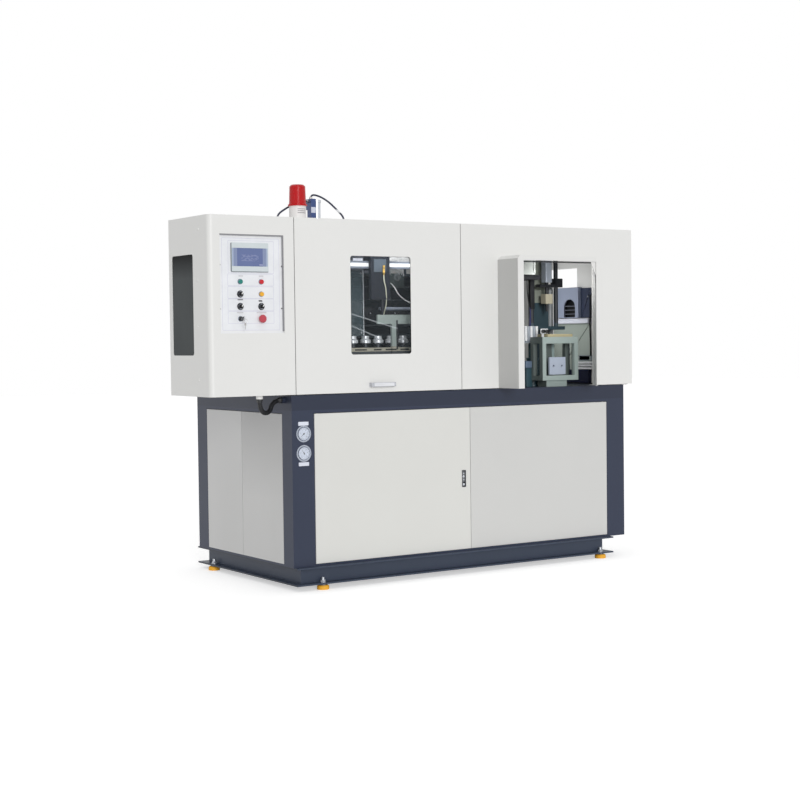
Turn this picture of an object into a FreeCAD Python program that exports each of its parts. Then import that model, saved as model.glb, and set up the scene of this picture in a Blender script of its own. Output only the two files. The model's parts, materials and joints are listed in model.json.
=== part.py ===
import FreeCAD, Part
import Sketcher
import math
import os

# A small automatic stretch blow moulding machine: a navy base frame on a beam plinth, an
# off-white cabinet with a control box, a lift-up window door and an outlet hood, and the
# heater line, clamp, stretch unit and outlet inside. Millimetres, front towards -Y, +X to
# the right, floor at Z = 0, origin in the middle of the footprint.

V = FreeCAD.Vector
doc = FreeCAD.newDocument("BlowMouldingMachine")
sheet = doc.addObject("Spreadsheet::Sheet", "Sizes")

SIZES = {
    # cabinet front, from the left end to the right end
    "left_end": -1374, "front_face": -467.5, "control_width": 479, "seam": 4,
    "door_width": 1033, "panel_width": 1228,
    "cabinet_height": 900, "cabinet_depth": 1100, "control_depth": 455,
    "sheet_wall": 3, "leaf_depth": 20, "fixed_depth": 30, "side_depth": 12,
    # floor to cabinet
    "pad_height": 28, "beam_height": 93, "beam_flange": 100, "beam_wall": 8,
    "frame_height": 882, "cabinet_gap": 4,
    # base frame
    "base_inset_left": 456, "base_inset_right": 63, "base_setback": 5, "base_depth": 1084,
    "post_width": 130, "front_post": 101, "rear_post": 117, "sill_height": 11,
    "rail_height": 94, "rail_depth": 80, "deck_thickness": 12, "deck_ledge": 20,
    "side_gap": 3, "pin_radius": 5, "pin_clearance": 0.1, "pin_reach": 9, "pin_inset": 20,
    "door_split": 987, "panel_split": 449,
    # plinth
    "plinth_inset_left": 3, "plinth_inset_right": 111, "plinth_front": 30, "plinth_rear": 26,
    # feet
    "pad_radius": 32, "pad_body": 22, "stud_radius": 8, "stud_top": 63, "nut_across": 24,
    "foot_left": 168, "foot_right": 80, "foot_end": 25, "foot_rear": 151,
    # cabinet frame
    "tube": 40, "frame_front": 30, "mid_post_inset": 21, "right_post_inset": 66,
    "hinge_drop": 10, "hinge_back": 16, "hinge_pin": 3, "lug_radius": 6.5, "lug_width": 8,
    "lug_inset": 120,
    # control box
    "corner_radius": 25, "opening_left": 61, "opening_width": 359, "opening_top": 94,
    "opening_height": 492, "opening_fold": 11, "plate_lap": 12, "plate_wall": 5,
    "pane_front": 178, "pane_width": 243, "pane_top": 188, "pane_height": 506,
    "pane_wall": 4, "pane_lap": 15, "pane_round": 14,
    "screen_left": 126, "screen_width": 209, "screen_top": 136, "screen_height": 145,
    "screen_proud": 6, "screen_back": 38, "column_gap": 118, "column_left": 176,
    "row_top": 329, "row_pitch": 61.5, "switch_radius": 11.1, "bezel_radius": 14.5,
    "bezel_wall": 4, "cap_proud": 9, "knob_proud": 8, "mushroom_radius": 20,
    "mushroom_wall": 11, "switch_back": 22, "slide_fit": 0.1,
    # door window and handle
    "window_left": 331, "window_width": 375, "window_top": 188, "window_height": 513,
    "handle_left": 439, "handle_width": 151, "handle_drop": 29, "handle_height": 22,
    "handle_reach": 28, "handle_wall": 7,
    # outlet hood
    "hood_left": 248, "hood_width": 559, "hood_splay": 128, "hood_reach": 180,
    "hood_top": 173, "hood_bevel": 20, "hood_stile": 42, "hood_header": 28, "hood_lap": 5,
    # gauges and latch
    "gauge_right": 67, "gauge_top": 197, "gauge_pitch": 100, "gauge_flange": 43,
    "gauge_body": 31.5, "gauge_depth": 34, "needle_length": 22,
    "latch_left": 929, "latch_width": 26, "latch_drop": 344, "latch_height": 93,
    "lever_height": 52,
    # beacon and roof valve
    "beacon_left": 579, "beacon_back": 130, "beacon_radius": 44, "beacon_base": 69,
    "beacon_rim": 50, "beacon_height": 178, "dome_wall": 3,
    "valve_left": 684, "valve_back": 170, "valve_width": 27, "valve_depth": 60,
    "valve_height": 115, "roof_bore": 22.5, "roof_cylinder": 112,
    # hoses
    "roof_hose": 10, "conduit_ridge": 12, "conduit_groove": 10, "conduit_bore": 8,
    "conduit_pitch": 13.5,
    # heater line
    "line_left": 80, "line_length": 900, "line_back": 170, "line_height": 237,
    "line_width": 80, "groove_width": 44, "groove_depth": 50, "spindle_pitch": 80,
    "spindle_count": 9, "spindle_radius": 29, "line_fit": 0.3,
    "heater_left": 260, "heater_width": 700, "heater_back": 260, "heater_depth": 310,
    "heater_height": 640,
    "beam_drop": 224, "beam_deep": 40, "carriage_width": 118, "carriage_drop": 165,
    # clamp
    "clamp_left": 100, "clamp_length": 430, "clamp_width": 300, "clamp_height": 420,
    "clamp_back": 430, "plate_thick": 35, "bar_radius": 14, "bar_fit": 0.3, "mould_width": 150,
    # stretch unit
    "stretch_left": 842, "stretch_back": 310, "rod_left": 115, "rod_right": 68, "rod_radius": 13,
    "crossbar_rise": 585, "crossbar_deep": 17, "stretch_bore": 23.5, "stretch_plate": 347,
    "column_height": 880,
    # outlet frame and fan housing
    "outlet_left": 599, "outlet_width": 262, "outlet_back": 50, "outlet_depth": 110,
    "outlet_foot": 36, "outlet_height": 248, "outlet_bar": 27, "push_left": 66, "push_width": 118,
    "push_height": 100,
    "wall_window_back": 490, "wall_window_width": 260, "wall_window_rise": 588,
    "wall_window_height": 115, "fan_back": 444, "fan_rise": 400, "fan_width": 212,
    "fan_height": 185, "fan_depth": 23, "arch_back": 82, "arch_width": 106,
    "arch_height": 110, "slat": 6,
}


class Size:
    """A length together with the sheet formula that gives it."""

    def __init__(self, value, text):
        self.value, self.text = float(value), text

    def __add__(self, other):
        return mix(self, "+", other)

    def __radd__(self, other):
        return mix(other, "+", self)

    def __sub__(self, other):
        return mix(self, "-", other)

    def __rsub__(self, other):
        return mix(other, "-", self)

    def __mul__(self, other):
        return mix(self, "*", other)

    __rmul__ = __mul__

    def __truediv__(self, other):
        return mix(self, "/", other)

    def __neg__(self):
        return mix(0, "-", self)


def size(v):
    return v if isinstance(v, Size) else Size(v, "%.6g" % v)


def mix(a, sign, b):
    a, b = size(a), size(b)
    if sign == "+":
        v = a.value + b.value
    elif sign == "-":
        v = a.value - b.value
    elif sign == "*":
        v = a.value * b.value
    else:
        v = a.value / b.value
    return Size(v, "(%s %s %s)" % (a.text, sign, b.text))


class Named:
    """Every cell of the sheet by its alias."""


S = Named()
for row, (alias, number) in enumerate(SIZES.items(), 1):
    sheet.set("A%d" % row, alias)
    sheet.set("B%d" % row, str(number))
    sheet.setAlias("B%d" % row, alias)
    setattr(S, alias, Size(number, "Sizes." + alias))
doc.recompute()


def bind(obj, prop, v):
    """Set a property now and tie it to its formula."""
    v = size(v)
    if "." not in prop:
        setattr(obj, prop, v.value)
    obj.setExpression(prop, v.text)


ROLE = {"X": "YZ_Plane", "Y": "XZ_Plane", "Z": "XY_Plane"}
pieces = []


def edge_box(e):
    b = e.BoundBox
    return b.XMin, b.XMax, b.YMin, b.YMax, b.ZMin, b.ZMax


def near(a, b):
    return abs(size(a).value - size(b).value) < 0.05


class Piece:
    """One sub-part. Features run along +X, +Y or +Z from the place given; in a sketch the
    two coordinates are (Y, Z), (X, Z) and (X, Y) for those three directions."""

    def __init__(self, label, kept=True):
        self.body = doc.addObject("PartDesign::Body", label)
        self.body.Label = label
        self.last = None
        self.count = 0
        if kept:
            pieces.append(self.body)

    def sketch(self, axis, at, u=0, v=0):
        self.count += 1
        s = self.body.newObject("Sketcher::SketchObject", "%s_s%d" % (self.body.Name, self.count))
        face = [f for f in self.body.Origin.OriginFeatures if f.Role == ROLE[axis]][0]
        s.AttachmentSupport = [(face, "")]
        s.MapMode = "FlatFace"
        w = -size(at) if axis == "Y" else size(at)
        u, v = size(u), size(v)
        s.AttachmentOffset = FreeCAD.Placement(V(u.value, v.value, w.value), FreeCAD.Rotation())
        for name, part in (("x", u), ("y", v), ("z", w)):
            if part.text != "0":
                s.setExpression("AttachmentOffset.Base." + name, part.text)
        return s

    def feature(self, kind, sketch, axis, depth):
        f = self.body.newObject("PartDesign::" + kind, "%s_f%d" % (self.body.Name, self.count))
        f.Profile = sketch
        bind(f, "Length", depth)
        f.Reversed = (axis == "Y") == (kind == "Pad")
        sketch.Visibility = False
        self.last = f
        return f

    def pad(self, axis, at, depth, *loops):
        s = self.sketch(axis, at)
        for loop in loops:
            loop(s)
        self.feature("Pad", s, axis, depth)
        return self

    def cut(self, axis, at, depth, *loops):
        doc.recompute()
        before = self.body.Shape.Volume
        s = self.sketch(axis, at)
        for loop in loops:
            loop(s)
        self.feature("Pocket", s, axis, depth)
        doc.recompute()
        if self.body.Shape.Volume >= before:
            raise ValueError("cut %d of %s removes nothing" % (self.count, self.body.Label))
        return self

    def turn(self, axis, at, profile, kind="Revolution"):
        """Revolve a profile of (radius, height) points round the line through at."""
        x, y, z = [size(c) for c in at]
        if axis == "Z":
            s = self.sketch("Y", y, x, z)
        else:
            s = self.sketch("Z", z, x, y)
        poly([(h, r) for r, h in profile] if axis == "X" else profile)(s)
        f = self.body.newObject("PartDesign::" + kind, "%s_f%d" % (self.body.Name, self.count))
        f.Profile = s
        f.ReferenceAxis = (s, ["H_Axis" if axis == "X" else "V_Axis"])
        f.Angle = 360
        s.Visibility = False
        self.last = f
        return self

    def row(self, count, pitch, role="X_Axis"):
        """Repeat the last feature along an axis of the body."""
        f = self.last
        p = self.body.newObject("PartDesign::LinearPattern", "%s_row%d" % (self.body.Name, self.count))
        p.Originals = [f]
        p.Direction = ([o for o in self.body.Origin.OriginFeatures if o.Role == role][0], [""])
        bind(p, "Length", size(pitch) * (size(count) - 1))
        p.Occurrences = int(size(count).value)
        p.setExpression("Occurrences", size(count).text)
        self.body.Tip = p
        self.last = p
        return self

    def dress(self, kind, radius, test):
        """Round or bevel the edges whose extents pass the test."""
        doc.recompute()
        shape = self.last.Shape
        names = ["Edge%d" % (i + 1) for i, e in enumerate(shape.Edges) if test(*edge_box(e))]
        if not names:
            raise ValueError("no edge to dress on " + self.body.Label)
        self.count += 1
        f = self.body.newObject("PartDesign::" + kind, "%s_f%d" % (self.body.Name, self.count))
        f.Base = (self.last, names)
        bind(f, "Radius" if kind == "Fillet" else "Size", radius)
        self.last = f
        return self

    def hollow(self, wall, test):
        """Shell the solid inwards, open at the faces whose extents pass the test."""
        doc.recompute()
        shape = self.last.Shape
        names = ["Face%d" % (i + 1) for i, e in enumerate(shape.Faces) if test(*edge_box(e))]
        self.count += 1
        f = self.body.newObject("PartDesign::Thickness", "%s_f%d" % (self.body.Name, self.count))
        f.Base = (self.last, names)
        bind(f, "Value", wall)
        f.Join = 1
        f.Reversed = True
        self.last = f
        return self


def dims(s, rows):
    """Positions from the sketch's origin, each tied to its formula."""
    for kind, geo, pos, v in rows:
        i = s.addConstraint(Sketcher.Constraint(kind, -1, 1, geo, pos, v.value))
        s.renameConstraint(i, "d%d" % i)
        s.setExpression("Constraints.d%d" % i, v.text)


def poly(points):
    """A closed outline of straight lines."""
    pts = [(size(u), size(v)) for u, v in points]

    def draw(s):
        n = len(pts)
        ends = [V(u.value, v.value, 0) for u, v in pts]
        g = s.addGeometry([Part.LineSegment(ends[i], ends[(i + 1) % n]) for i in range(n)], False)
        s.addConstraint([Sketcher.Constraint("Coincident", g[i], 2, g[(i + 1) % n], 1) for i in range(n)])
        dims(s, [row for i, (u, v) in enumerate(pts)
                 for row in (("DistanceX", g[i], 1, u), ("DistanceY", g[i], 1, v))])
    return draw


def rect(u0, v0, u1, v1, r=None):
    """A rectangle between two corners, with round corners where r is given."""
    u0, v0, u1, v1 = size(u0), size(v0), size(u1), size(v1)

    def draw(s):
        a, b, c, d = u0.value, v0.value, u1.value, v1.value
        k = size(r).value if r is not None else 0.0
        lines = [Part.LineSegment(V(a + k, b, 0), V(c - k, b, 0)), Part.LineSegment(V(c, b + k, 0), V(c, d - k, 0)),
                 Part.LineSegment(V(c - k, d, 0), V(a + k, d, 0)), Part.LineSegment(V(a, d - k, 0), V(a, b + k, 0))]
        g = s.addGeometry(lines, False)
        s.addConstraint([Sketcher.Constraint("Horizontal", g[0]), Sketcher.Constraint("Vertical", g[1]),
                         Sketcher.Constraint("Horizontal", g[2]), Sketcher.Constraint("Vertical", g[3])])
        if k:
            mids = [(c - k, b + k, -90), (c - k, d - k, 0), (a + k, d - k, 90), (a + k, b + k, 180)]
            arcs = []
            for x, y, start in mids:
                circle_geo = Part.Circle(V(x, y, 0), V(0, 0, 1), k)
                arcs.append(Part.ArcOfCircle(circle_geo, math.radians(start), math.radians(start + 90)))
            q = s.addGeometry(arcs, False)
            s.addConstraint([con for i in range(4) for con in (
                Sketcher.Constraint("Tangent", g[i], 2, q[i], 1),
                Sketcher.Constraint("Tangent", q[i], 2, g[(i + 1) % 4], 1))])
            s.addConstraint([Sketcher.Constraint("Equal", q[0], q[i]) for i in (1, 2, 3)])
            i = s.addConstraint(Sketcher.Constraint("Radius", q[0], k))
            s.renameConstraint(i, "r%d" % i)
            s.setExpression("Constraints.r%d" % i, size(r).text)
        else:
            s.addConstraint([Sketcher.Constraint("Coincident", g[i], 2, g[(i + 1) % 4], 1) for i in range(4)])
        dims(s, [("DistanceX", g[3], 1, u0), ("DistanceY", g[0], 1, v0),
                 ("DistanceX", g[1], 1, u1), ("DistanceY", g[2], 1, v1)])
    return draw


def arch(u, v, width, height):
    """A doorway outline: flat foot centred at (u, v), upright sides and a half-round head."""
    u, v, r, spring = size(u), size(v), size(width) / 2, size(v) + height - size(width) / 2

    def draw(s):
        left, right, foot, head = (u - r).value, (u + r).value, v.value, spring.value
        g = s.addGeometry([Part.LineSegment(V(left, foot, 0), V(right, foot, 0)),
                           Part.LineSegment(V(right, foot, 0), V(right, head, 0)),
                           Part.LineSegment(V(left, head, 0), V(left, foot, 0))], False)
        q = s.addGeometry(Part.ArcOfCircle(Part.Circle(V(u.value, head, 0), V(0, 0, 1), r.value), 0, math.pi), False)
        s.addConstraint([Sketcher.Constraint("Horizontal", g[0]), Sketcher.Constraint("Vertical", g[1]),
                         Sketcher.Constraint("Vertical", g[2]), Sketcher.Constraint("Coincident", g[0], 2, g[1], 1),
                         Sketcher.Constraint("Coincident", g[2], 2, g[0], 1),
                         Sketcher.Constraint("Tangent", g[1], 2, q, 1), Sketcher.Constraint("Tangent", q, 2, g[2], 1)])
        dims(s, [("DistanceX", g[0], 1, u - r), ("DistanceY", g[0], 1, v), ("DistanceX", g[0], 2, u + r),
                 ("DistanceY", g[1], 2, spring)])
    return draw


def circle(u, v, r):
    u, v, r = size(u), size(v), size(r)

    def draw(s):
        g = s.addGeometry(Part.Circle(V(u.value, v.value, 0), V(0, 0, 1), r.value), False)
        i = s.addConstraint(Sketcher.Constraint("Radius", g, r.value))
        s.renameConstraint(i, "r%d" % i)
        s.setExpression("Constraints.r%d" % i, r.text)
        dims(s, [("DistanceX", g, 3, u), ("DistanceY", g, 3, v)])
    return draw


def group(label, members):
    """Identical small pieces kept together as separate solids of one sub-part."""
    c = doc.addObject("Part::Compound", label)
    c.Label = label
    c.Links = [m.body for m in members]
    pieces.append(c)
    return c


def folded_panel(label, x, y, z, depth, wall, inward):
    """A sheet pan with returns: x, y, z are (from, to) pairs and inward the open side."""
    p = Piece(label)
    p.pad("Z", z[0], z[1] - z[0], rect(x[0], y[0], x[1], y[1]))
    if inward == "+Y":
        p.cut("Y", y[0] + wall, depth, rect(x[0] + wall, z[0] + wall, x[1] - wall, z[1] - wall))
    elif inward == "-Y":
        p.cut("Y", y[0] - wall, depth, rect(x[0] + wall, z[0] + wall, x[1] - wall, z[1] - wall))
    elif inward == "+X":
        p.cut("X", x[0] + wall, depth, rect(y[0] + wall, z[0] + wall, y[1] - wall, z[1] - wall))
    else:
        p.cut("X", x[0] - wall, depth, rect(y[0] + wall, z[0] + wall, y[1] - wall, z[1] - wall))
    return p


# ---------------------------------------------------------------- main lines of the machine
wall = S.sheet_wall
L0 = S.left_end
L1 = L0 + S.control_width            # right side of the control box
L2 = L1 + S.seam
L3 = L2 + S.door_width               # right side of the window door
L4 = L3 + S.seam
L5 = L4 + S.panel_width              # right end of the cabinet
F = S.front_face
R = F + S.cabinet_depth              # rear of the cabinet
Z1 = S.pad_height                    # underside of the plinth
Z2 = Z1 + S.beam_height              # underside of the base frame
Z3 = Z2 + S.frame_height             # top of the base frame and deck
Z4 = Z3 + S.cabinet_gap              # underside of the cabinet
Z5 = Z4 + S.cabinet_height           # top of the cabinet
BL = L0 + S.base_inset_left
BR = L5 - S.base_inset_right
BF = F + S.base_setback
BB = BF + S.base_depth
ZS = Z2 + S.sill_height              # top of the sill
ZR = Z3 - S.rail_height              # underside of the top rail
ZD = Z3 - S.deck_thickness           # underside of the deck

# ---------------------------------------------------------------- plinth of wide-flange beams
PL, PR = BL + S.plinth_inset_left, BR - S.plinth_inset_right
PF, PB = BF - S.plinth_front, BB + S.plinth_rear
mid_in = (S.beam_flange - S.beam_wall) / 2
plinth = Piece("plinth_frame")


def ring(x0, y0, x1, y1, width):
    return [rect(x0, y0, x1, y1), rect(x0 + width, y0 + width, x1 - width, y1 - width)]


plinth.pad("Z", Z1, S.beam_wall, *ring(PL, PF, PR, PB, S.beam_flange))
plinth.pad("Z", Z1 + S.beam_wall, S.beam_height - 2 * S.beam_wall,
           *ring(PL + mid_in, PF + mid_in, PR - mid_in, PB - mid_in, S.beam_wall))
plinth.pad("Z", Z2 - S.beam_wall, S.beam_wall, *ring(PL, PF, PR, PB, S.beam_flange))
feet = [(BL + S.foot_left, PF + S.foot_end), (PR - S.foot_right, PF + S.foot_end),
        (PL + S.foot_end, PB - S.foot_rear), (PR - S.foot_end, PB - S.foot_rear)]
plinth.cut("Z", Z1, S.beam_wall, *[circle(x, y, S.stud_radius + 0.5) for x, y in feet])

# levelling feet: a yellow pad, and a stud with a nut under and over the flange
pads, studs = [], []
for i, (x, y) in enumerate(feet, 1):
    r, h = S.pad_radius, S.pad_body
    pads.append(Piece("foot_pad_%d" % i, False).turn("Z", (x, y, 0), [
        (0, 0), (r, 0), (r, h - 5), (r - 5, h), (0, h)]))
    stud = Piece("foot_stud_%d" % i, False)
    stud.pad("Z", h, S.stud_top - h, circle(x, y, S.stud_radius))
    k = S.nut_across / math.sqrt(3)
    hexagon = [(x + k * math.cos(math.radians(60 * j)), y + k * math.sin(math.radians(60 * j))) for j in range(6)]
    stud.pad("Z", h, S.pad_height - h, poly(hexagon))
    stud.pad("Z", Z1 + S.beam_wall, 13, poly(hexagon))
    studs.append(stud)
group("foot_pads", pads)
group("foot_studs", studs)

# ---------------------------------------------------------------- base frame
frame = Piece("base_frame")
frame.pad("Z", Z2, S.sill_height, rect(BL, BF, BR, BB),
          rect(BL + S.rail_depth, BF + S.rail_depth, BR - S.rail_depth, BB - S.rail_depth))
frame.pad("Z", Z2, S.frame_height, rect(BL, BF, BL + S.post_width, BF + S.front_post),
          rect(BR - S.post_width, BF, BR, BF + S.front_post),
          rect(BL, BB - S.rear_post, BL + S.post_width, BB),
          rect(BR - S.post_width, BB - S.rear_post, BR, BB))
frame.pad("Z", ZR, S.rail_height, *ring(BL, BF, BR, BB, S.rail_depth))
ledge = S.rail_depth - S.deck_ledge
frame.cut("Z", ZD, S.deck_thickness, rect(BL + ledge, BF + ledge, BR - ledge, BB - ledge))

deck = Piece("deck_plate")
deck.pad("Z", ZD, S.deck_thickness, rect(BL + ledge + 1, BF + ledge + 1, BR - ledge - 1, BB - ledge - 1))

# lower doors: folded leaves that turn on pins in the sill and the top rail
DL, DR = BL + S.post_width, BR - S.post_width
DM = DL + S.door_split
gap = S.side_gap
pin = S.pin_radius
door_z = (ZS + 1, ZR - gap)
latch_x, latch_z = DL + S.latch_left, ZR - S.latch_drop - S.latch_height
pins = []
for label, a, b, hinge in (("base_door_left", DL + gap, DM - gap / 2, 0), ("base_door_right", DM + gap / 2, DR - gap, 1)):
    leaf = folded_panel(label, (a, b), (BF, BF + S.leaf_depth), door_z, S.leaf_depth, wall, "+Y")
    px = (b - S.pin_inset) if hinge else (a + S.pin_inset)
    py = BF + S.leaf_depth / 2
    leaf.pad("Z", ZS - S.pin_reach, ZR - ZS + 2 * S.pin_reach, circle(px, py, pin))
    pins.append((px, py))
    if not hinge:
        leaf.cut("Y", BF, wall, rect(latch_x + 2, latch_z + 2, latch_x + S.latch_width - 2,
                                     latch_z + S.latch_height - 2))
frame.cut("Z", ZS - S.pin_reach - 1, S.pin_reach + 1, *[circle(x, y, pin + S.pin_clearance) for x, y in pins])
frame.cut("Z", ZR, S.pin_reach + 1, *[circle(x, y, pin + S.pin_clearance) for x, y in pins])

# flush latch: a shallow tray in the left door and a paddle that swings out of it
latch = Piece("latch_tray")
latch.pad("Y", BF - 2, 2, rect(latch_x, latch_z, latch_x + S.latch_width, latch_z + S.latch_height))
latch.pad("Y", BF, 16, rect(latch_x + 2.3, latch_z + 2.3, latch_x + S.latch_width - 2.3,
                            latch_z + S.latch_height - 2.3))
latch.cut("Y", BF - 2, 15, rect(latch_x + 4, latch_z + 4, latch_x + S.latch_width - 4, latch_z + S.latch_height - 4))
lever_z = latch_z + S.latch_height - 12
latch.cut("X", latch_x + 2.5, S.latch_width - 5, circle(BF + 5, lever_z, 2 + S.pin_clearance))
lever = Piece("latch_lever")
lever.pad("X", latch_x + 5, S.latch_width - 10, rect(BF + 2, lever_z - S.lever_height, BF + 6, lever_z + 4))
lever.pad("X", latch_x + 2.7, S.latch_width - 5.4, circle(BF + 5, lever_z, 2))

# left end: two lift-off panels side by side; right end and rear: one panel each
EF, EB = BF + S.front_post, BB - S.rear_post
EM = EF + S.panel_split
end_z = (ZS, ZR - gap)
folded_panel("end_panel_front", (BL, BL + S.leaf_depth), (EF + gap, EM - gap / 2), end_z, S.leaf_depth, wall, "+X")
folded_panel("end_panel_rear", (BL, BL + S.leaf_depth), (EM + gap / 2, EB - gap), end_z, S.leaf_depth, wall, "+X")
right = Piece("base_right_panel")
right.pad("Z", ZS, end_z[1] - ZS, rect(BR - S.leaf_depth, EF + gap, BR, EB - gap))
right.cut("X", BR - S.leaf_depth, S.leaf_depth - wall, rect(EF + gap + wall, ZS + wall, EB - gap - wall,
                                                            end_z[1] - wall))
rear = Piece("base_rear_panel")
rear.pad("Z", ZS, end_z[1] - ZS, rect(DL + gap, BB - S.leaf_depth, DR - gap, BB))
rear.cut("Y", BB - S.leaf_depth, S.leaf_depth - wall, rect(DL + gap + wall, ZS + wall, DR - gap - wall,
                                                           end_z[1] - wall))
rear.cut("Y", BB - wall, wall, rect(DL + 300, ZS + 180, DL + 310, ZS + 420))
rear.row(16, 30)

# pressure gauges in the front left post
gx = BL + S.gauge_right
gauge_z = [Z3 - S.gauge_top, Z3 - S.gauge_top - S.gauge_pitch]
frame.cut("Y", BF, S.gauge_depth + 2, *[circle(gx, z, S.gauge_body + 0.5) for z in gauge_z])
for name, z, turn_by in (("upper", gauge_z[0], 225), ("lower", gauge_z[1], 125)):
    g, b = S.gauge_flange, S.gauge_body
    case = Piece("gauge_%s" % name)
    case.turn("Y", (gx, BF, z), [(0, -4), (b, -4), (b + 2, -9), (b + 4.5, -3), (g, -3), (g, 0), (b, 0),
                                 (b, S.gauge_depth), (0, S.gauge_depth)])
    case.pad("Y", BF - 6.5, 3, circle(gx, z, 1.5))
    dx, dz = math.cos(math.radians(turn_by)), math.sin(math.radians(turn_by))
    tip, tail, half = S.needle_length, 7, 1.6
    hand = Piece("gauge_%s_needle" % name)
    hand.pad("Y", BF - 6.2, 1.4, poly([
        (gx + tip * dx, z + tip * dz), (gx - half * dz, z + half * dx),
        (gx - tail * dx - half * dz, z - tail * dz + half * dx),
        (gx - tail * dx + half * dz, z - tail * dz - half * dx), (gx + half * dz, z - half * dx)]))
    hand.pad("Y", BF - 6.2, 1.4, circle(gx, z, 3.4))
    hand.cut("Y", BF - 6.2, 1.4, circle(gx, z, 1.5 + S.pin_clearance / 2))

# ---------------------------------------------------------------- cabinet frame and skins
CF = F + S.frame_front               # front of the cabinet frame
SL = L1 + S.side_depth               # inner face of the left skin
SR = L5 - S.side_depth
SB = R - S.side_depth
tube = S.tube
ZT = Z5 - wall                       # top of the rails, under the roof sheet
posts_x = [SL, L4 - S.mid_post_inset, L5 - S.right_post_inset - tube]
cab = Piece("cabinet_frame")
cab.pad("Z", ZT - tube, tube, *ring(SL, CF, SR, SB, tube))
cab.pad("Z", Z3, ZT - Z3, *[rect(x, y, x + tube, y + tube) for x in posts_x for y in (CF, SB - tube)])
cab.pad("X", SL, SR - SL, rect(SB - tube, Z3 + 10, SB, Z3 + 10 + tube))
cab.pad("Y", CF, SB - CF, rect(SL, Z3 + 10, SL + tube, Z3 + 10 + tube))
cab.pad("X", posts_x[2] + tube / 2, SR - posts_x[2] - tube / 2, rect(CF, Z3 + 10, CF + tube, Z3 + 10 + tube))
# cross beam of the preform carriage, across the heater line under the roof
BZ = Z5 - S.beam_drop
LY = F + S.line_back                 # centre line of the spindles
cab.pad("X", SL, posts_x[1] + tube - SL, rect(LY - 15, BZ - S.beam_deep / 2, LY + 15, BZ + S.beam_deep / 2))
for x in (SL, posts_x[1]):
    cab.pad("Y", CF, LY + 15 - CF, rect(x, BZ - tube / 2, x + tube, BZ + tube / 2))
# lugs of the window door, reaching forward into its top fold
HY, HZ = F + S.hinge_back, Z5 - S.hinge_drop
lugs = [L2 + S.lug_inset, L3 - S.lug_inset - S.lug_width]
for x in lugs:
    cab.pad("X", x, S.lug_width, rect(HY, HZ - S.lug_radius, CF + 1, HZ + S.lug_radius))
    cab.pad("X", x, S.lug_width, circle(HY, HZ, S.lug_radius))
    cab.cut("X", x, S.lug_width, circle(HY, HZ, S.hinge_pin + S.pin_clearance / 2))

roof = Piece("cabinet_roof")
roof.pad("Z", ZT, wall, rect(L1, CF, L5, R))
skin_l = Piece("cabinet_left_skin")
skin_l.pad("Z", Z4, ZT - Z4, rect(L1, CF, SL, SB))
skin_l.cut("X", L1 + wall, S.side_depth - wall, rect(CF + tube, Z4 + 2 * tube, SB - tube, ZT - tube))
skin_b = Piece("cabinet_rear_skin")
skin_b.pad("Z", Z4, ZT - Z4, rect(L1, SB, L5, R))
skin_b.cut("Y", SB, S.side_depth - wall, rect(SL + tube, Z4 + 2 * tube, SR - tube, ZT - tube))
skin_r = Piece("cabinet_right_skin")
skin_r.pad("Z", Z4, ZT - Z4, rect(SR, CF, L5, SB))
skin_r.cut("X", SR, S.side_depth - wall, rect(CF + tube, Z4 + 2 * tube, SB - tube, ZT - tube))
WY, WZ = F + S.wall_window_back, Z3 + S.wall_window_rise
skin_r.cut("X", SR, S.side_depth, rect(WY, WZ, WY + S.wall_window_width, WZ + S.wall_window_height))

# window door: a folded leaf that lifts on a pin along its top edge
door = folded_panel("window_door", (L2, L3), (F, F + S.leaf_depth), (Z4, Z5), S.leaf_depth, wall, "+Y")
wx, wz = L2 + S.window_left, Z5 - S.window_top - S.window_height
door.cut("Y", F, wall, rect(wx, wz, wx + S.window_width, wz + S.window_height, S.pane_round))
door.cut("Z", Z5 - wall, wall, *[rect(x - 3, F + wall, x + S.lug_width + 3, F + S.leaf_depth) for x in lugs])
door.pad("X", L2, S.door_width, circle(HY, HZ, S.hinge_pin))
pane = Piece("window_pane")
lap = S.pane_lap
pane.pad("Y", F + wall, S.pane_wall, rect(wx - lap, wz - lap, wx + S.window_width + lap, wz + S.window_height + lap))
hx, hz = L2 + S.handle_left, Z4 + S.handle_drop
handle = Piece("window_door_handle")
handle.pad("Z", hz, S.handle_height, poly([
    (hx, F), (hx, F - S.handle_reach), (hx + S.handle_width, F - S.handle_reach), (hx + S.handle_width, F),
    (hx + S.handle_width - S.handle_wall, F),
    (hx + S.handle_width - S.handle_wall, F - S.handle_reach + S.handle_wall),
    (hx + S.handle_wall, F - S.handle_reach + S.handle_wall), (hx + S.handle_wall, F)]))
handle.dress("Fillet", 5, lambda a, b, c, d, e, f: near(c, F - S.handle_reach) and near(c, d) and near(a, b))

# right front panel, open to the hood and down to its lower edge
hood_l = L4 + S.hood_left
hood_r = hood_l + S.hood_width + S.hood_splay
hood_z = Z5 - S.hood_top
fixed = Piece("right_front_panel")
fixed.pad("Z", Z4, S.cabinet_height, rect(L4, F, L5, F + S.fixed_depth))
fixed.cut("Y", F + wall, S.fixed_depth - wall, rect(L4 + wall, Z4 + wall, L5 - wall, Z5 - wall))
fixed.cut("Y", F, S.fixed_depth, rect(hood_l + wall + S.hood_lap, Z4, hood_r - wall - S.hood_lap,
                                      hood_z - wall - S.hood_lap))

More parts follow.
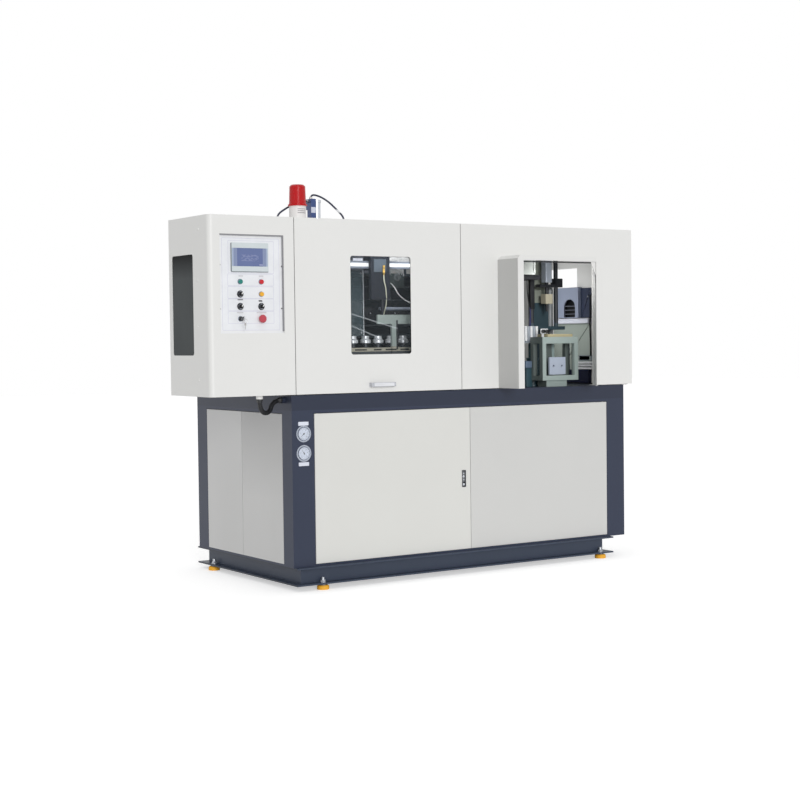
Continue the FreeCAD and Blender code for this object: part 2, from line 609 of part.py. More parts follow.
# outlet hood: left side square to the front, right side splayed, bevelled along the top left
hood = Piece("outlet_hood")
HF = F - S.hood_reach
hood.pad("Z", Z4, hood_z - Z4, poly([(hood_l, F), (hood_l, HF), (hood_l + S.hood_width, HF), (hood_r, F)]))
hood.dress("Chamfer", S.hood_bevel, lambda a, b, c, d, e, f: near(a, hood_l) and near(b, hood_l)
           and near(e, hood_z) and near(f, hood_z))
hood.hollow(wall, lambda a, b, c, d, e, f: (near(c, F) and near(d, F)) or (near(e, Z4) and near(f, Z4)))
hood.cut("Y", HF, wall, rect(hood_l + S.hood_stile, Z4, hood_l + S.hood_width - wall, hood_z - S.hood_header))

# ---------------------------------------------------------------- control box
CB = F + S.control_depth
box = Piece("control_box")
box.pad("Z", Z4, S.cabinet_height, rect(L0, F, L1, CB))
box.dress("Fillet", S.corner_radius, lambda a, b, c, d, e, f: near(a, L0) and near(b, L0) and near(c, F) and near(d, F))
box.hollow(wall, lambda a, b, c, d, e, f: near(a, L1) and near(b, L1))
ox, oz = L0 + S.opening_left, Z5 - S.opening_top - S.opening_height
ow, oh, fold = S.opening_width, S.opening_height, S.opening_fold
box.pad("Y", F, fold, rect(ox - wall, oz - wall, ox + ow + wall, oz + oh + wall))
box.cut("Y", F, fold, rect(ox, oz, ox + ow, oz + oh))
wy, wz2 = F + S.pane_front, Z5 - S.pane_top - S.pane_height
box.cut("X", L0, wall, rect(wy, wz2, wy + S.pane_width, wz2 + S.pane_height, S.pane_round))
cable_a = (L0 + 294, F + 45)          # where the conduit leaves the box
box.pad("Z", Z4 - 18, 20, circle(cable_a[0], cable_a[1], 17))
box.cut("Z", Z4 - 18, 22, circle(cable_a[0], cable_a[1], S.conduit_bore))
side_pane = Piece("control_box_pane")
side_pane.pad("X", L0 + wall, S.pane_wall, rect(wy - lap, wz2 - lap, wy + S.pane_width + lap, wz2 + S.pane_height + lap))

# control plate behind the opening, with the screen and two columns of four switches
PY = F + fold
plate = Piece("control_plate")
e = S.plate_lap
plate.pad("Y", PY, S.plate_wall, rect(ox - e, oz - e, ox + ow + e, oz + oh + e))
sx, sz = L0 + S.screen_left, Z5 - S.screen_top - S.screen_height
plate.cut("Y", PY, S.plate_wall, rect(sx + 9, sz + 6, sx + S.screen_width - 9, sz + S.screen_height - 6))
cols = [L0 + S.column_left, L0 + S.column_left + S.column_gap]
rows = [Z5 - S.row_top - S.row_pitch * i for i in range(4)]
spots = [(x, z) for z in rows for x in cols]
plate.cut("Y", PY, S.plate_wall, *[circle(x, z, S.switch_radius + S.slide_fit) for x, z in spots])
screen = Piece("hmi_unit")
screen.pad("Y", PY - S.screen_proud, S.screen_proud, rect(sx, sz, sx + S.screen_width, sz + S.screen_height, 5))
screen.pad("Y", PY, S.screen_back, rect(sx + 9.5, sz + 6.5, sx + S.screen_width - 9.5, sz + S.screen_height - 6.5))
screen.cut("Y", PY - S.screen_proud, 1.5, rect(sx + 14, sz + 28, sx + S.screen_width - 14, sz + S.screen_height - 26))
bezels = []
for i, (x, z) in enumerate(spots, 1):
    ri, ro, t = S.switch_radius + S.slide_fit, S.bezel_radius, S.bezel_wall
    bezels.append(Piece("switch_bezel_%d" % i, False).turn("Y", (x, PY, z), [
        (ri, -t), (ro - 1, -t), (ro, 0), (ri, 0)]))
group("switch_bezels", bezels)


def plunger(label, spot):
    """The round body of a switch, running through its bezel and the plate."""
    x, z = spot
    front = S.bezel_wall + S.cap_proud
    p = Piece(label)
    p.turn("Y", (x, PY, z), [(0, -front), (S.switch_radius - 1.5, -front), (S.switch_radius, 1.5 - front),
                             (S.switch_radius, S.switch_back), (0, S.switch_back)])
    return p


def selector(label, spot):
    """A rotary switch: its round body with a raised grip across it."""
    x, z = spot
    p = plunger(label, spot)
    y = PY - S.bezel_wall - S.cap_proud - S.knob_proud
    p.pad("Y", y, S.knob_proud, poly([(x - 3, z - 11), (x + 3, z - 11), (x + 4, z + 6), (x, z + 12), (x - 4, z + 6)]))
    return p


plunger("button_green", spots[0])
plunger("button_red", spots[1])
selector("selector_mode", spots[2])
plunger("button_yellow", spots[3])
selector("selector_left", spots[4])
selector("selector_right", spots[5])
x, z = spots[6]
key = plunger("key_switch", spots[6])
key.pad("X", x - 1.2, 2.4, poly([(PY - 13, z - 4), (PY - 13, z + 4), (PY - 26, z + 4), (PY - 28, z + 10),
                                 (PY - 46, z + 10), (PY - 46, z - 10), (PY - 28, z - 10), (PY - 26, z - 4)]))
x, z = spots[7]
m = S.mushroom_radius
stop = Piece("emergency_stop")
cap = S.bezel_wall + S.cap_proud
stop.turn("Y", (x, PY, z), [(0, -cap - S.mushroom_wall), (m - 6, -cap - S.mushroom_wall), (m, -cap - S.mushroom_wall + 6),
                            (m, -cap + 2), (m - 3, -cap), (S.switch_radius, -cap), (S.switch_radius, S.switch_back),
                            (0, S.switch_back)])

# ---------------------------------------------------------------- beacon and valve on the roof
bx, by = L0 + S.beacon_left, F + S.beacon_back
base = Piece("beacon_base")
base.turn("Z", (bx, by, Z5), [(0, 0), (S.beacon_radius, 0), (S.beacon_radius, S.beacon_base), (0, S.beacon_base)])
base.turn("Z", (bx, by, Z5 + S.beacon_base), [(0, -1), (14, -1), (14, 52), (10, 62), (0, 62)])
dome = Piece("beacon_dome")
rim, br, h0, h1 = S.beacon_rim, S.beacon_radius, S.beacon_base, S.beacon_height
dome.turn("Z", (bx, by, Z5), [(br - S.dome_wall, h0), (rim, h0), (rim, h0 + 8), (br, h0 + 10), (br - 3, h1 - 8),
                              (br - 12, h1), (0, h1), (0, h1 - S.dome_wall), (br - 14, h1 - S.dome_wall),
                              (br - 6, h1 - 12)])
vx, vy = L0 + S.valve_left, F + S.valve_back
valve = Piece("roof_valve_block")
valve.pad("Z", Z5, S.valve_height, rect(vx, vy, vx + S.valve_width, vy + S.valve_depth))
valve.cut("Z", Z5, 60, rect(vx, vy + S.valve_depth / 2 + 12, vx + S.valve_width, vy + S.valve_depth))
cyl = Piece("roof_cylinder")
rb = S.roof_bore
cx, cy = vx + S.valve_width + rb + 0.3, vy + 30
cyl.turn("Z", (cx, cy, Z5), [(0, 0), (rb, 0), (rb, 14), (rb - 2, 16), (rb - 2, S.roof_cylinder - 16),
                             (rb, S.roof_cylinder - 14), (rb, S.roof_cylinder), (0, S.roof_cylinder)])

# ---------------------------------------------------------------- heater line
line = Piece("spindle_rail")
lx = L2 + S.line_left
LW = S.line_width / 2
top = Z3 + S.line_height
line.pad("X", lx, S.line_length, rect(LY - LW, top - 90, LY + LW, top))
line.cut("X", lx, S.line_length, rect(LY - S.groove_width / 2, top - S.groove_depth, LY + S.groove_width / 2, top))
line.pad("Z", Z3, S.line_height - 90, rect(lx + 40, LY - LW, lx + 100, LY + LW),
         rect(lx + S.line_length - 100, LY - LW, lx + S.line_length - 40, LY + LW))
# bracket in front of the spindles: a leg and a wide plate on it
kx = lx + 488
line.pad("Z", top - 60, 190, rect(kx + 92, LY - LW - 16, kx + 118, LY - LW + 1))
line.pad("Z", top + 126, 49, rect(kx, LY - LW - 16, kx + 231, LY - LW - 4))
train = Piece("spindle_train")
n = S.spindle_count
bar_len = S.spindle_pitch * n
bar_x = lx + 4
train.pad("X", bar_x, bar_len, rect(LY - S.groove_width / 2 + S.line_fit, top - S.groove_depth + S.line_fit,
                                    LY + S.groove_width / 2 - S.line_fit, top - 8))
sr = S.spindle_radius
train.turn("Z", (bar_x + S.spindle_pitch / 2, LY, top - 9), [
    (0, 0), (13, 0), (13, 28), (sr, 34), (sr, 50), (sr - 9, 57), (sr - 9, 72), (0, 72)])
train.row(n, S.spindle_pitch)

heater = Piece("heater_box")
x0, y0 = L2 + S.heater_left, F + S.heater_back
hw, hd, hh = S.heater_width, S.heater_depth, S.heater_height
heater.pad("Z", Z3, hh, rect(x0, y0, x0 + hw, y0 + hd))
heater.cut("Y", y0, hd - 12, rect(x0 + 12, Z3 + 310, x0 + hw - 12, Z3 + hh - 12))
heater.cut("Y", y0, hd - 12, rect(x0 + 12, Z3 + 20, x0 + hw - 12, Z3 + 290))

carriage = Piece("preform_carriage")
gx0 = lx + 461
gw, gd = S.carriage_width, S.carriage_drop
fit = S.line_fit
beam_lo, beam_hi = BZ - S.beam_deep / 2, BZ + S.beam_deep / 2
carriage.pad("X", gx0, gw, poly([
    (LY - 39, beam_lo - gd), (LY - 15 - fit, beam_lo - gd), (LY - 15 - fit, beam_hi + fit), (LY + 15 + fit, beam_hi + fit),
    (LY + 15 + fit, beam_lo - 10), (LY + 35, beam_lo - 10), (LY + 35, BZ + 55), (LY - 39, BZ + 55)]))

# ---------------------------------------------------------------- clamp
qx, qy = L4 + S.clamp_left, F + S.clamp_back
qw, qh, qt = S.clamp_width, S.clamp_height, S.plate_thick
bars = [(qy + v, Z3 + w) for v in (45, qw - 45) for w in (110, qh - 45)]
clamp = Piece("clamp_frame")
clamp.pad("Z", Z3, 40, rect(qx, qy, qx + S.clamp_length, qy + qw))
clamp.pad("Z", Z3, qh, rect(qx, qy, qx + qt, qy + qw), rect(qx + S.clamp_length - qt, qy, qx + S.clamp_length, qy + qw))
clamp.pad("X", qx, S.clamp_length, *[circle(a, b, S.bar_radius) for a, b in bars])
clamp.pad("X", qx + qt, 70, rect(qy + qw / 2 - S.mould_width / 2, Z3 + 90, qy + qw / 2 + S.mould_width / 2, Z3 + qh - 30))
clamp.cut("Z", Z3 + 130, qh, circle(qx + qt + 70, qy + qw / 2, 48))
platen = Piece("clamp_platen")
px0 = qx + S.clamp_length - 2 * qt - 60
platen.pad("X", px0, qt, rect(qy, Z3 + 42, qy + qw, Z3 + qh))
platen.cut("X", px0, qt, *[circle(a, b, S.bar_radius + S.bar_fit) for a, b in bars])
platen.pad("X", px0 - 70, 71, rect(qy + qw / 2 - S.mould_width / 2, Z3 + 90, qy + qw / 2 + S.mould_width / 2, Z3 + qh - 30))
platen.cut("Z", Z3 + 130, qh, circle(px0 - 70, qy + qw / 2, 48))

# ---------------------------------------------------------------- stretch unit
tx, ty = L4 + S.stretch_left, F + S.stretch_back
zc = Z3 + S.crossbar_rise
zp = Z3 + S.stretch_plate
zt = Z3 + S.column_height - 20
rods = [(tx - S.rod_left, ty), (tx + S.rod_right, ty)]
arm = [tx - S.rod_left - 30, tx + S.rod_right + 35]
column = Piece("stretch_column")
column.pad("Z", Z3, S.column_height, rect(tx - 60, ty + 60, tx + 60, ty + 100))
column.pad("Z", zt, 20, rect(arm[0], ty - 40, arm[1], ty + 61))
column.pad("Z", zp - 20, 20, rect(arm[0], ty - 40, arm[1], ty + 61))
column.cut("Z", zp - 20, 20, circle(tx, ty, 30))
column.pad("Z", zp - 1, zt - zp + 2, *[circle(a, b, S.rod_radius) for a, b in rods])
air = Piece("stretch_cylinder")
q = S.stretch_bore
air.pad("Z", zc + 20, zt - zc - 20, rect(tx - q, ty - q, tx + q, ty + q, 6))
air.cut("Z", zc + 20, 130, circle(tx, ty, 11))
bridge = Piece("stretch_crossbar")
cd = S.crossbar_deep
ex, ey = rods[1]
bridge.pad("Z", zc - cd / 2, cd, rect(tx - 65, ty - 22, ex + 33, ty + 22))
bridge.pad("Z", zc - cd / 2, 52, rect(ex - 20, ey - 24, ex + 33, ey + 24))
bridge.cut("Z", zc - cd / 2, 52, circle(ex, ey, S.rod_radius + S.bar_fit))
bridge.pad("Z", zc - 50, 195, circle(tx, ty, 10.7))
bridge.pad("Z", zc - 105, 56, rect(tx - 26, ty - 22, tx + 26, ty + 22))
bridge.pad("Z", zc - 150, 46, circle(tx, ty, 9))

# ---------------------------------------------------------------- outlet frame with its pusher
ux, uy = L4 + S.outlet_left, F + S.outlet_back
uw, ud, uh, ub = S.outlet_width, S.outlet_depth, S.outlet_height, S.outlet_bar
uz = Z3 + S.outlet_foot
outlet = Piece("outlet_frame")
outlet.pad("Z", uz, uh, rect(ux, uy, ux + uw, uy + ud))
outlet.cut("Y", uy, ud, rect(ux + ub, uz + ub, ux + uw - ub, uz + uh - ub * 1.4))
outlet.cut("X", ux, uw, rect(uy + ub, uz + ub, uy + ud - ub, uz + uh - ub * 1.4))
outlet.pad("Z", Z3, S.outlet_foot + 1, rect(ux + 40, uy + 15, ux + 188, uy + ud - 15))
push_x = ux + S.push_left
rod_x = push_x + S.push_width / 2
outlet.pad("Z", uz + ub - 1, uh - 2.4 * ub + 2, rect(rod_x - 20, uy + ud - 14, rod_x + 20, uy + ud - 2))
hole_z = uz + 82
outlet.cut("Y", uy + ud - 14, 14, circle(rod_x, hole_z, 8 + S.bar_fit))
push = Piece("push_plate")
pw, ph = S.push_width, S.push_height
push.pad("Y", uy + 20, 12, rect(push_x, hole_z - ph / 2, push_x + pw, hole_z + ph / 2))
push.cut("Y", uy + 20, 12, circle(push_x + 31, hole_z, 6), circle(push_x + 91, hole_z, 6))
push.pad("Y", uy + 31, ud + 20, circle(rod_x, hole_z, 8))

# ---------------------------------------------------------------- fan housing on the right wall
fan = Piece("fan_housing")
fx = SR - S.fan_depth
fy, fz = F + S.fan_back, Z3 + S.fan_rise
fan_wall = S.side_depth - wall
fan.pad("X", fx, S.fan_depth + fan_wall, rect(fy, fz, fy + S.fan_width, fz + S.fan_height))
ay, az, aw, ah = fy + S.arch_back, fz + 4, S.arch_width, S.arch_height
fan.cut("X", fx, S.fan_depth, arch(ay, az, aw, ah))
fan.pad("X", fx + 8, S.slat, *[rect(ay - aw / 2 - 1, az + 18 + 24 * i, ay + aw / 2 + 1, az + 22 + 24 * i)
                               for i in range(3)])


# ---------------------------------------------------------------- hoses
def route(points):
    """Straight runs joined by tangent arcs, each as large as its two runs allow."""
    pts = [V(*[size(c).value for c in p]) for p in points]
    edges, start, radii = [], pts[0], []
    for before, corner, after in zip(pts, pts[1:], pts[2:]):
        a, b = (before - corner), (after - corner)
        la, lb = a.Length, b.Length
        a.normalize()
        b.normalize()
        turn_angle = math.pi - a.getAngle(b)
        reach = 0.45 * min(la, lb)
        radius = reach / math.tan(turn_angle / 2)
        radii.append(radius)
        p0, p1 = corner + a * reach, corner + b * reach
        inward = (a + b).normalize()
        centre = corner + inward * (radius / math.cos(turn_angle / 2))
        mid_point = centre - inward * radius
        edges.append(Part.LineSegment(start, p0).toShape())
        edges.append(Part.Arc(p0, mid_point, p1).toShape())
        start = p1
    edges.append(Part.LineSegment(start, pts[-1]).toShape())
    return Part.Wire(edges), radii


def solid_piece(label, shape):
    f = doc.addObject("Part::Feature", label)
    f.Label = label
    f.Shape = shape
    f.Placement = FreeCAD.Placement()
    pieces.append(f)


def tube_along(label, points, radius):
    path, radii = route(points)
    first = path.Edges[0]
    ring_edge = Part.Wire(Part.Circle(first.valueAt(first.FirstParameter), first.tangentAt(first.FirstParameter),
                                      size(radius).value).toShape())
    tube_shape = Part.Wire(path.Edges).makePipeShell([ring_edge], True, False)
    print(label, "length %.0f" % path.Length, "radii", ["%.0f" % r for r in radii],
          "volume ratio %.3f" % (tube_shape.Volume / (math.pi * size(radius).value ** 2 * path.Length)))
    solid_piece(label, tube_shape)


hr = S.roof_hose / 2
vtop = Z5 + S.valve_height
hy = vy + 30
tube_along("roof_hose_right", [
    (vx + 9, hy - 10, vtop), (vx + 9, hy - 10, vtop + 22), (vx + 50, hy - 11, vtop + 21),
    (vx + 110, hy - 14, vtop - 6), (vx + 170, hy - 18, vtop - 57), (vx + 205, hy - 20, Z5 + 25),
    (vx + 205, hy - 20, Z5)], hr)
tube_along("roof_hose_left", [
    (vx, hy, vtop - 12), (vx - 36, hy, vtop - 12), (vx - 80, hy, vtop - 25), (vx - 140, hy, vtop - 56),
    (vx - 188, hy, Z5 + 27), (vx - 188, hy, Z5)], hr)


def ribbed(label, points, ridge, groove, bore, pitch):
    """A corrugated hose: a ruled loft through four circles to a rib, less its bore."""
    path, radii = route(points)
    length = path.Length
    edges = path.Edges
    ridge, groove, bore, pitch = [size(q2).value for q2 in (ridge, groove, bore, pitch)]

    def place(at):
        for one in edges:
            if at <= one.Length or one is edges[-1]:
                u = one.getParameterByLength(min(at, one.Length))
                return one.valueAt(u), one.tangentAt(u)
            at -= one.Length
        return None

    def ring_at(at, radius):
        p, t = place(at)
        x_axis = V(0, 1, 0).cross(t)
        c = Part.Circle(p, t, radius)
        c.XAxis = x_axis
        return Part.Wire(c.toShape())

    ends = 2 * ridge
    count = int((length - 2 * ends) / pitch)
    step = (length - 2 * ends) / count
    rings = [ring_at(0, groove)]
    for i in range(count):
        s0 = ends + i * step
        for share, radius in ((0.0, groove), (0.2, ridge), (0.55, ridge), (0.75, groove)):
            rings.append(ring_at(s0 + share * step, radius))
    rings.append(ring_at(length, groove))
    outer = Part.makeLoft(rings, True, True)
    first = edges[0]
    hole = Part.Wire(Part.Circle(first.valueAt(0), first.tangentAt(0), bore).toShape())
    inner = Part.Wire(edges).makePipeShell([hole], True, False)
    shape = outer.cut(inner)
    if shape.ShapeType != "Solid":
        shape = shape.Solids[0]
    print(label, "length %.0f" % length, "ribs", count, "radii", ["%.0f" % r for r in radii])
    solid_piece(label, shape)


ax, ay2 = cable_a
gz = Z4 - 18
bz = Z3 - 24
by2 = BF + 78
frame.pad("X", BL - 18, 19, circle(by2, bz, 17))
frame.cut("X", BL - 18, 30, circle(by2, bz, S.conduit_bore))
ribbed("control_conduit", [
    (ax, ay2, gz), (ax, ay2, gz - 62), (ax + 62, ay2 + 14, gz - 78), (ax + 98, by2, bz), (BL - 18, by2, bz)],
    S.conduit_ridge, S.conduit_groove, S.conduit_bore, S.conduit_pitch)

# ---------------------------------------------------------------- check and write
doc.recompute()
for obj in doc.Objects:
    if "Invalid" in obj.State or "Error" in obj.State:
        raise ValueError("%s did not build: %s" % (obj.Label, obj.State))
os.makedirs("parts", exist_ok=True)
for obj in pieces:
    shape = obj.Shape
    if shape.isNull() or not shape.isValid() or not shape.Solids:
        raise ValueError("%s has no valid shape" % obj.Label)
    shape.exportStep("parts/%s.step" % obj.Label)
print(len(pieces), "sub-parts")
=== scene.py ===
import json
import math
import bmesh
import bpy
from mathutils import Matrix, Vector

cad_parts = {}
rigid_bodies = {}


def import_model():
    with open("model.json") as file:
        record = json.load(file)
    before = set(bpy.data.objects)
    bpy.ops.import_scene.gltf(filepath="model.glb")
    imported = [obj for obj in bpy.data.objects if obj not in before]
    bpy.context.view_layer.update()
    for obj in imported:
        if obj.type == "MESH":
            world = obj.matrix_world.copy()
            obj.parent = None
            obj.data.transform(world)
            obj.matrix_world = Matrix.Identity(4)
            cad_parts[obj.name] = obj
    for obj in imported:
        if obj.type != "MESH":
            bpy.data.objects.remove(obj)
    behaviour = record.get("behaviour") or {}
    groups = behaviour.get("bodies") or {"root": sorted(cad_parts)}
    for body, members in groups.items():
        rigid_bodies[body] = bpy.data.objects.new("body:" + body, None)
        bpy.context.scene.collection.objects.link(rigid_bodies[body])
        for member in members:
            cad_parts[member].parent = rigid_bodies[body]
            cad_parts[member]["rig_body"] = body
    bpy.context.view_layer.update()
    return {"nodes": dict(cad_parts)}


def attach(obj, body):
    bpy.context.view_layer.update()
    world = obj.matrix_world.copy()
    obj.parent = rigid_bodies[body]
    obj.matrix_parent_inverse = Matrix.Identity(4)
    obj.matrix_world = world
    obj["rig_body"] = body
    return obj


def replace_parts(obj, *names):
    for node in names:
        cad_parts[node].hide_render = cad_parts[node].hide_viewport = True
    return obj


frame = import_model()

# -------- camera
# The machine is seen from its front left corner at about chest height, through a long
# lens, with hardly any tilt and a very slight roll.
yaw, pitch, roll = math.radians(33.37), math.radians(2.16), math.radians(-0.6806)
ahead = Vector((math.sin(yaw) * math.cos(pitch), math.cos(yaw) * math.cos(pitch), -math.sin(pitch)))
level = Vector((math.cos(yaw), -math.sin(yaw), 0.0))
upright = level.cross(ahead)
to_right = math.cos(roll) * level + math.sin(roll) * upright
to_top = -math.sin(roll) * level + math.cos(roll) * upright
lens = bpy.data.cameras.new("camera")
lens.sensor_width = 36.0
lens.lens = 70.245
camera = bpy.data.objects.new("camera", lens)
camera.matrix_world = Matrix((to_right, to_top, -ahead)).transposed().to_4x4()
camera.location = (-4.8148, -7.3809, 1.2732)
bpy.context.scene.collection.objects.link(camera)
bpy.context.scene.camera = camera


# -------- levelling feet
# Four moulded yellow rubber pads carry the machine. Each has a zinc-plated stud with a
# nut under and over the plinth flange, and a washer below the upper nut.
class Wire:
    """One value in a finish. Sums on it add Math nodes."""

    def __init__(self, finish, socket):
        self.finish, self.socket = finish, socket

    def sum(self, operation, a, b):
        return self.finish.node("ShaderNodeMath", {"operation": operation}, {0: a, 1: b}, "Value")

    def __add__(self, other):
        return self.sum("ADD", self, other)

    def __sub__(self, other):
        return self.sum("SUBTRACT", self, other)

    def __rsub__(self, other):
        return self.sum("SUBTRACT", other, self)

    def __mul__(self, other):
        return self.sum("MULTIPLY", self, other)

    def __gt__(self, other):
        return self.sum("GREATER_THAN", self, other)

    def __lt__(self, other):
        return self.sum("LESS_THAN", self, other)

    def __abs__(self):
        return self.sum("ABSOLUTE", self, 0.0)

    def kept(self):
        """The value held between 0 and 1."""
        return self.sum("MINIMUM", self.sum("MAXIMUM", self, 0.0), 1.0)

    __radd__, __rmul__ = __add__, __mul__


class Finish:
    """A finish as it is mixed, worked out on the piece itself in metres."""

    def __init__(self, name):
        self.material = bpy.data.materials.new(name)
        self.material.use_nodes = True
        self.tree = self.material.node_tree
        self.tree.nodes.clear()
        self.out = self.tree.nodes.new("ShaderNodeOutputMaterial")
        self.shader = self.tree.nodes.new("ShaderNodeBsdfPrincipled")
        self.tree.links.new(self.shader.outputs[0], self.out.inputs["Surface"])
        self.place = self.node("ShaderNodeTexCoord", {}, {}, "Object")

    def node(self, kind, settings, values, output):
        """Adds a node: its settings first, then the values and wires of its sockets."""
        new = self.tree.nodes.new(kind)
        for key, value in settings.items():
            setattr(new, key, value)
        for key, value in values.items():
            self.feed(new.inputs[key], value)
        return Wire(self, new.outputs[output])

    def feed(self, socket, value):
        if isinstance(value, Wire):
            self.tree.links.new(value.socket, socket)
        elif isinstance(value, tuple) and len(value) == 3 and socket.type == "RGBA":
            socket.default_value = (*value, 1.0)
        else:
            socket.default_value = value

    def along(self, axis):
        return self.node("ShaderNodeSeparateXYZ", {}, {"Vector": self.place}, axis)

    def noise(self, scale, detail=2.0, stretch=(1.0, 1.0, 1.0)):
        """Soft random cloud between 0 and 1; scale is in spots per metre."""
        spread = self.node("ShaderNodeMapping", {}, {"Vector": self.place, "Scale": stretch},
            "Vector")
        return self.node("ShaderNodeTexNoise", {}, {"Vector": spread, "Scale": scale,
            "Detail": detail}, "Fac")

    def blend(self, share, a, b):
        """Colour a where share is 0, colour b where it is 1."""
        return self.node("ShaderNodeMix", {"data_type": "RGBA"}, {0: share, 6: a, 7: b}, 2)

    def tones(self, share, a, b):
        """The same for two colours as read off a colour card."""
        return self.blend(share, swatch(*a), swatch(*b))

    def waves(self, scale):
        """Level rings up the piece, for threads, flutes and turned grooves."""
        return self.node("ShaderNodeTexWave", {"bands_direction": "Z"},
            {"Vector": self.place, "Scale": scale}, "Fac")

    def bump(self, height, strength, distance):
        return self.node("ShaderNodeBump", {}, {"Height": height, "Strength": strength,
            "Distance": distance}, "Normal")

    def set(self, **values):
        for key, value in values.items():
            self.feed(self.shader.inputs[key.replace("_", " ")], value)
        return self.material


def swatch(red, green, blue):
    """A colour as read off a colour card, 0 to 255, turned into light."""
    return tuple((c / 255 / 12.92) if c < 11 else ((c / 255 + 0.055) / 1.055) ** 2.4
        for c in (red, green, blue))


def near(colour, share):
    """The same colour, a little lighter or darker."""
    return tuple(min(1.0, c * share) for c in colour)


def dress(node, finish):
    """Gives a CAD node its finish."""
    slots = frame["nodes"][node].data.materials
    slots.clear()
    slots.append(finish)


def moulded(name, colour, gloss=0.5, grain=900.0):
    """Moulded rubber or plastic: a fine spark-eroded grain and a faint change of tone."""
    f, colour = Finish(name), swatch(*colour)
    cloud, fine = f.noise(14.0, 3.0), f.noise(grain, 1.0)
    return f.set(Base_Color=f.blend(cloud, near(colour, 0.9), near(colour, 1.08)),
        Roughness=cloud * 0.12 + (gloss - 0.06), Normal=f.bump(fine, 0.25, 0.0002))


def plated(name, colour, gloss=0.3, stretch=(1.0, 1.0, 1.0), metallic=1.0):
    """Plated, ground or machined metal: grain drawn out across the stretch, dull patches."""
    f, colour = Finish(name), swatch(*colour)
    grain, cloud = f.noise(160.0, 4.0, stretch), f.noise(9.0, 3.0)
    return f.set(Base_Color=f.blend(grain, near(colour, 0.8), near(colour, 1.12)),
        Metallic=metallic, Roughness=grain * 0.18 + cloud * 0.1 + (gloss - 0.14),
        Normal=f.bump(grain, 0.15, 0.0001))


def choose(kind, test):
    """Selects the open piece's faces by centre and normal, or its edges by middle and direction."""
    bpy.ops.mesh.select_mode(type=kind)
    bpy.ops.mesh.select_all(action="DESELECT")
    shape = bmesh.from_edit_mesh(bpy.context.edit_object.data)
    for part in (shape.faces if kind == "FACE" else shape.edges):
        if kind == "FACE":
            middle, way = part.calc_center_median(), part.normal
        else:
            a, b = (v.co for v in part.verts)
            middle, way = (a + b) / 2, (b - a).normalized()
        if test(middle, way):
            part.select_set(True)
    bmesh.update_edit_mesh(bpy.context.edit_object.data)


mm = 0.001  # places are in metres; radii, steps, corners, rims and edges in millimetres


def opened(name):
    """Names a new primitive, and puts its place and size into its mesh for shaping."""
    bpy.context.object.name = name
    bpy.ops.object.transform_apply()
    bpy.ops.object.mode_set(mode="EDIT")
    bpy.ops.mesh.select_all(action="SELECT")


def pull(move):
    """Draws the selected faces out of the open piece by a move."""
    bpy.ops.mesh.extrude_region_move(TRANSFORM_OT_translate={"value": move})


def faced(merge=0.0):
    """Ends a skin: points nearer than merge become one, and all faces look outwards."""
    bpy.ops.mesh.select_all(action="SELECT")
    if merge:
        bpy.ops.mesh.remove_doubles(threshold=merge * mm)
    bpy.ops.mesh.normals_make_consistent(inside=False)


def turned(name, foot, along, steps, sides=32):
    """Opens a turned piece. From its foot, each step is a radius and how far along it lies."""
    bpy.ops.object.select_all(action="DESELECT")
    foot, along = Vector(foot), Vector(along).normalized()
    steps = [(wide * mm, far * mm) for wide, far in steps]
    radius, reach = steps[0]
    bpy.ops.mesh.primitive_circle_add(vertices=sides, radius=radius, fill_type="NGON",
        location=foot + along * reach, rotation=along.to_track_quat("Z", "Y").to_euler())
    opened(name)
    bpy.ops.mesh.select_mode(type="FACE")
    bpy.ops.mesh.select_all(action="SELECT")
    for wide, far in steps[1:]:
        pull(along * (far - reach))
        bpy.ops.transform.resize(value=(wide / radius,) * 3, center_override=foot + along * far)
        radius, reach = wide, far
    faced()


def close(finish, body="machine", edge=0.0):
    """Ends the shaping: edges eased, faces smoothed by angle, then finish, slot and body."""
    bpy.ops.object.mode_set(mode="OBJECT")
    piece = bpy.context.object
    if edge:
        bpy.ops.object.modifier_add(type="BEVEL")
        ease = piece.modifiers[0]
        ease.width, ease.segments, ease.limit_method = edge * mm, 2, "ANGLE"
        bpy.ops.object.modifier_apply(modifier=ease.name)
    bpy.ops.object.shade_smooth_by_angle(angle=math.radians(35))
    piece.data.materials.append(finish)
    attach(piece, body)
    return piece


def again(piece, *moves):
    """More of the same piece, each with its own mesh, moved from where the first one is."""
    for i, move in enumerate(moves, 2):
        bpy.ops.object.select_all(action="DESELECT")
        piece.select_set(True)
        bpy.context.view_layer.objects.active = piece
        bpy.ops.object.duplicate()
        twin = bpy.context.object
        twin.name = "%s_%d" % (piece.name, i)
        bpy.ops.object.mode_set(mode="EDIT")
        bpy.ops.mesh.select_all(action="SELECT")
        bpy.ops.transform.translate(value=move)
        bpy.ops.object.mode_set(mode="OBJECT")
        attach(twin, piece["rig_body"])


UP = (0, 0, 1)
pad_rubber = moulded("pad_rubber", (243, 178, 44), 0.55, 500.0)
thread = Finish("stud_thread")
ridge = thread.waves(105.0)
thread.set(Base_Color=thread.tones(ridge, (150, 154, 160), (214, 217, 222)), Metallic=0.9,
    Roughness=ridge * 0.1 + 0.28, Normal=thread.bump(ridge, 0.5, 0.0006))
zinc = plated("zinc_plate", (205, 208, 214), 0.34)
dress("foot_pads", pad_rubber)
dress("foot_studs", thread.material)
pads = [(-0.75, -0.4675), (1.12, -0.4675), (-0.89, 0.4965), (1.175, 0.4965)]
washer = [(17, 0), (17, 2.2), (15.5, 2.8)]
for i, (x, y) in enumerate(pads, 1):
    turned("foot_washer_%d" % i, (x, y, 0.036), UP, washer, 24)
    close(zinc)


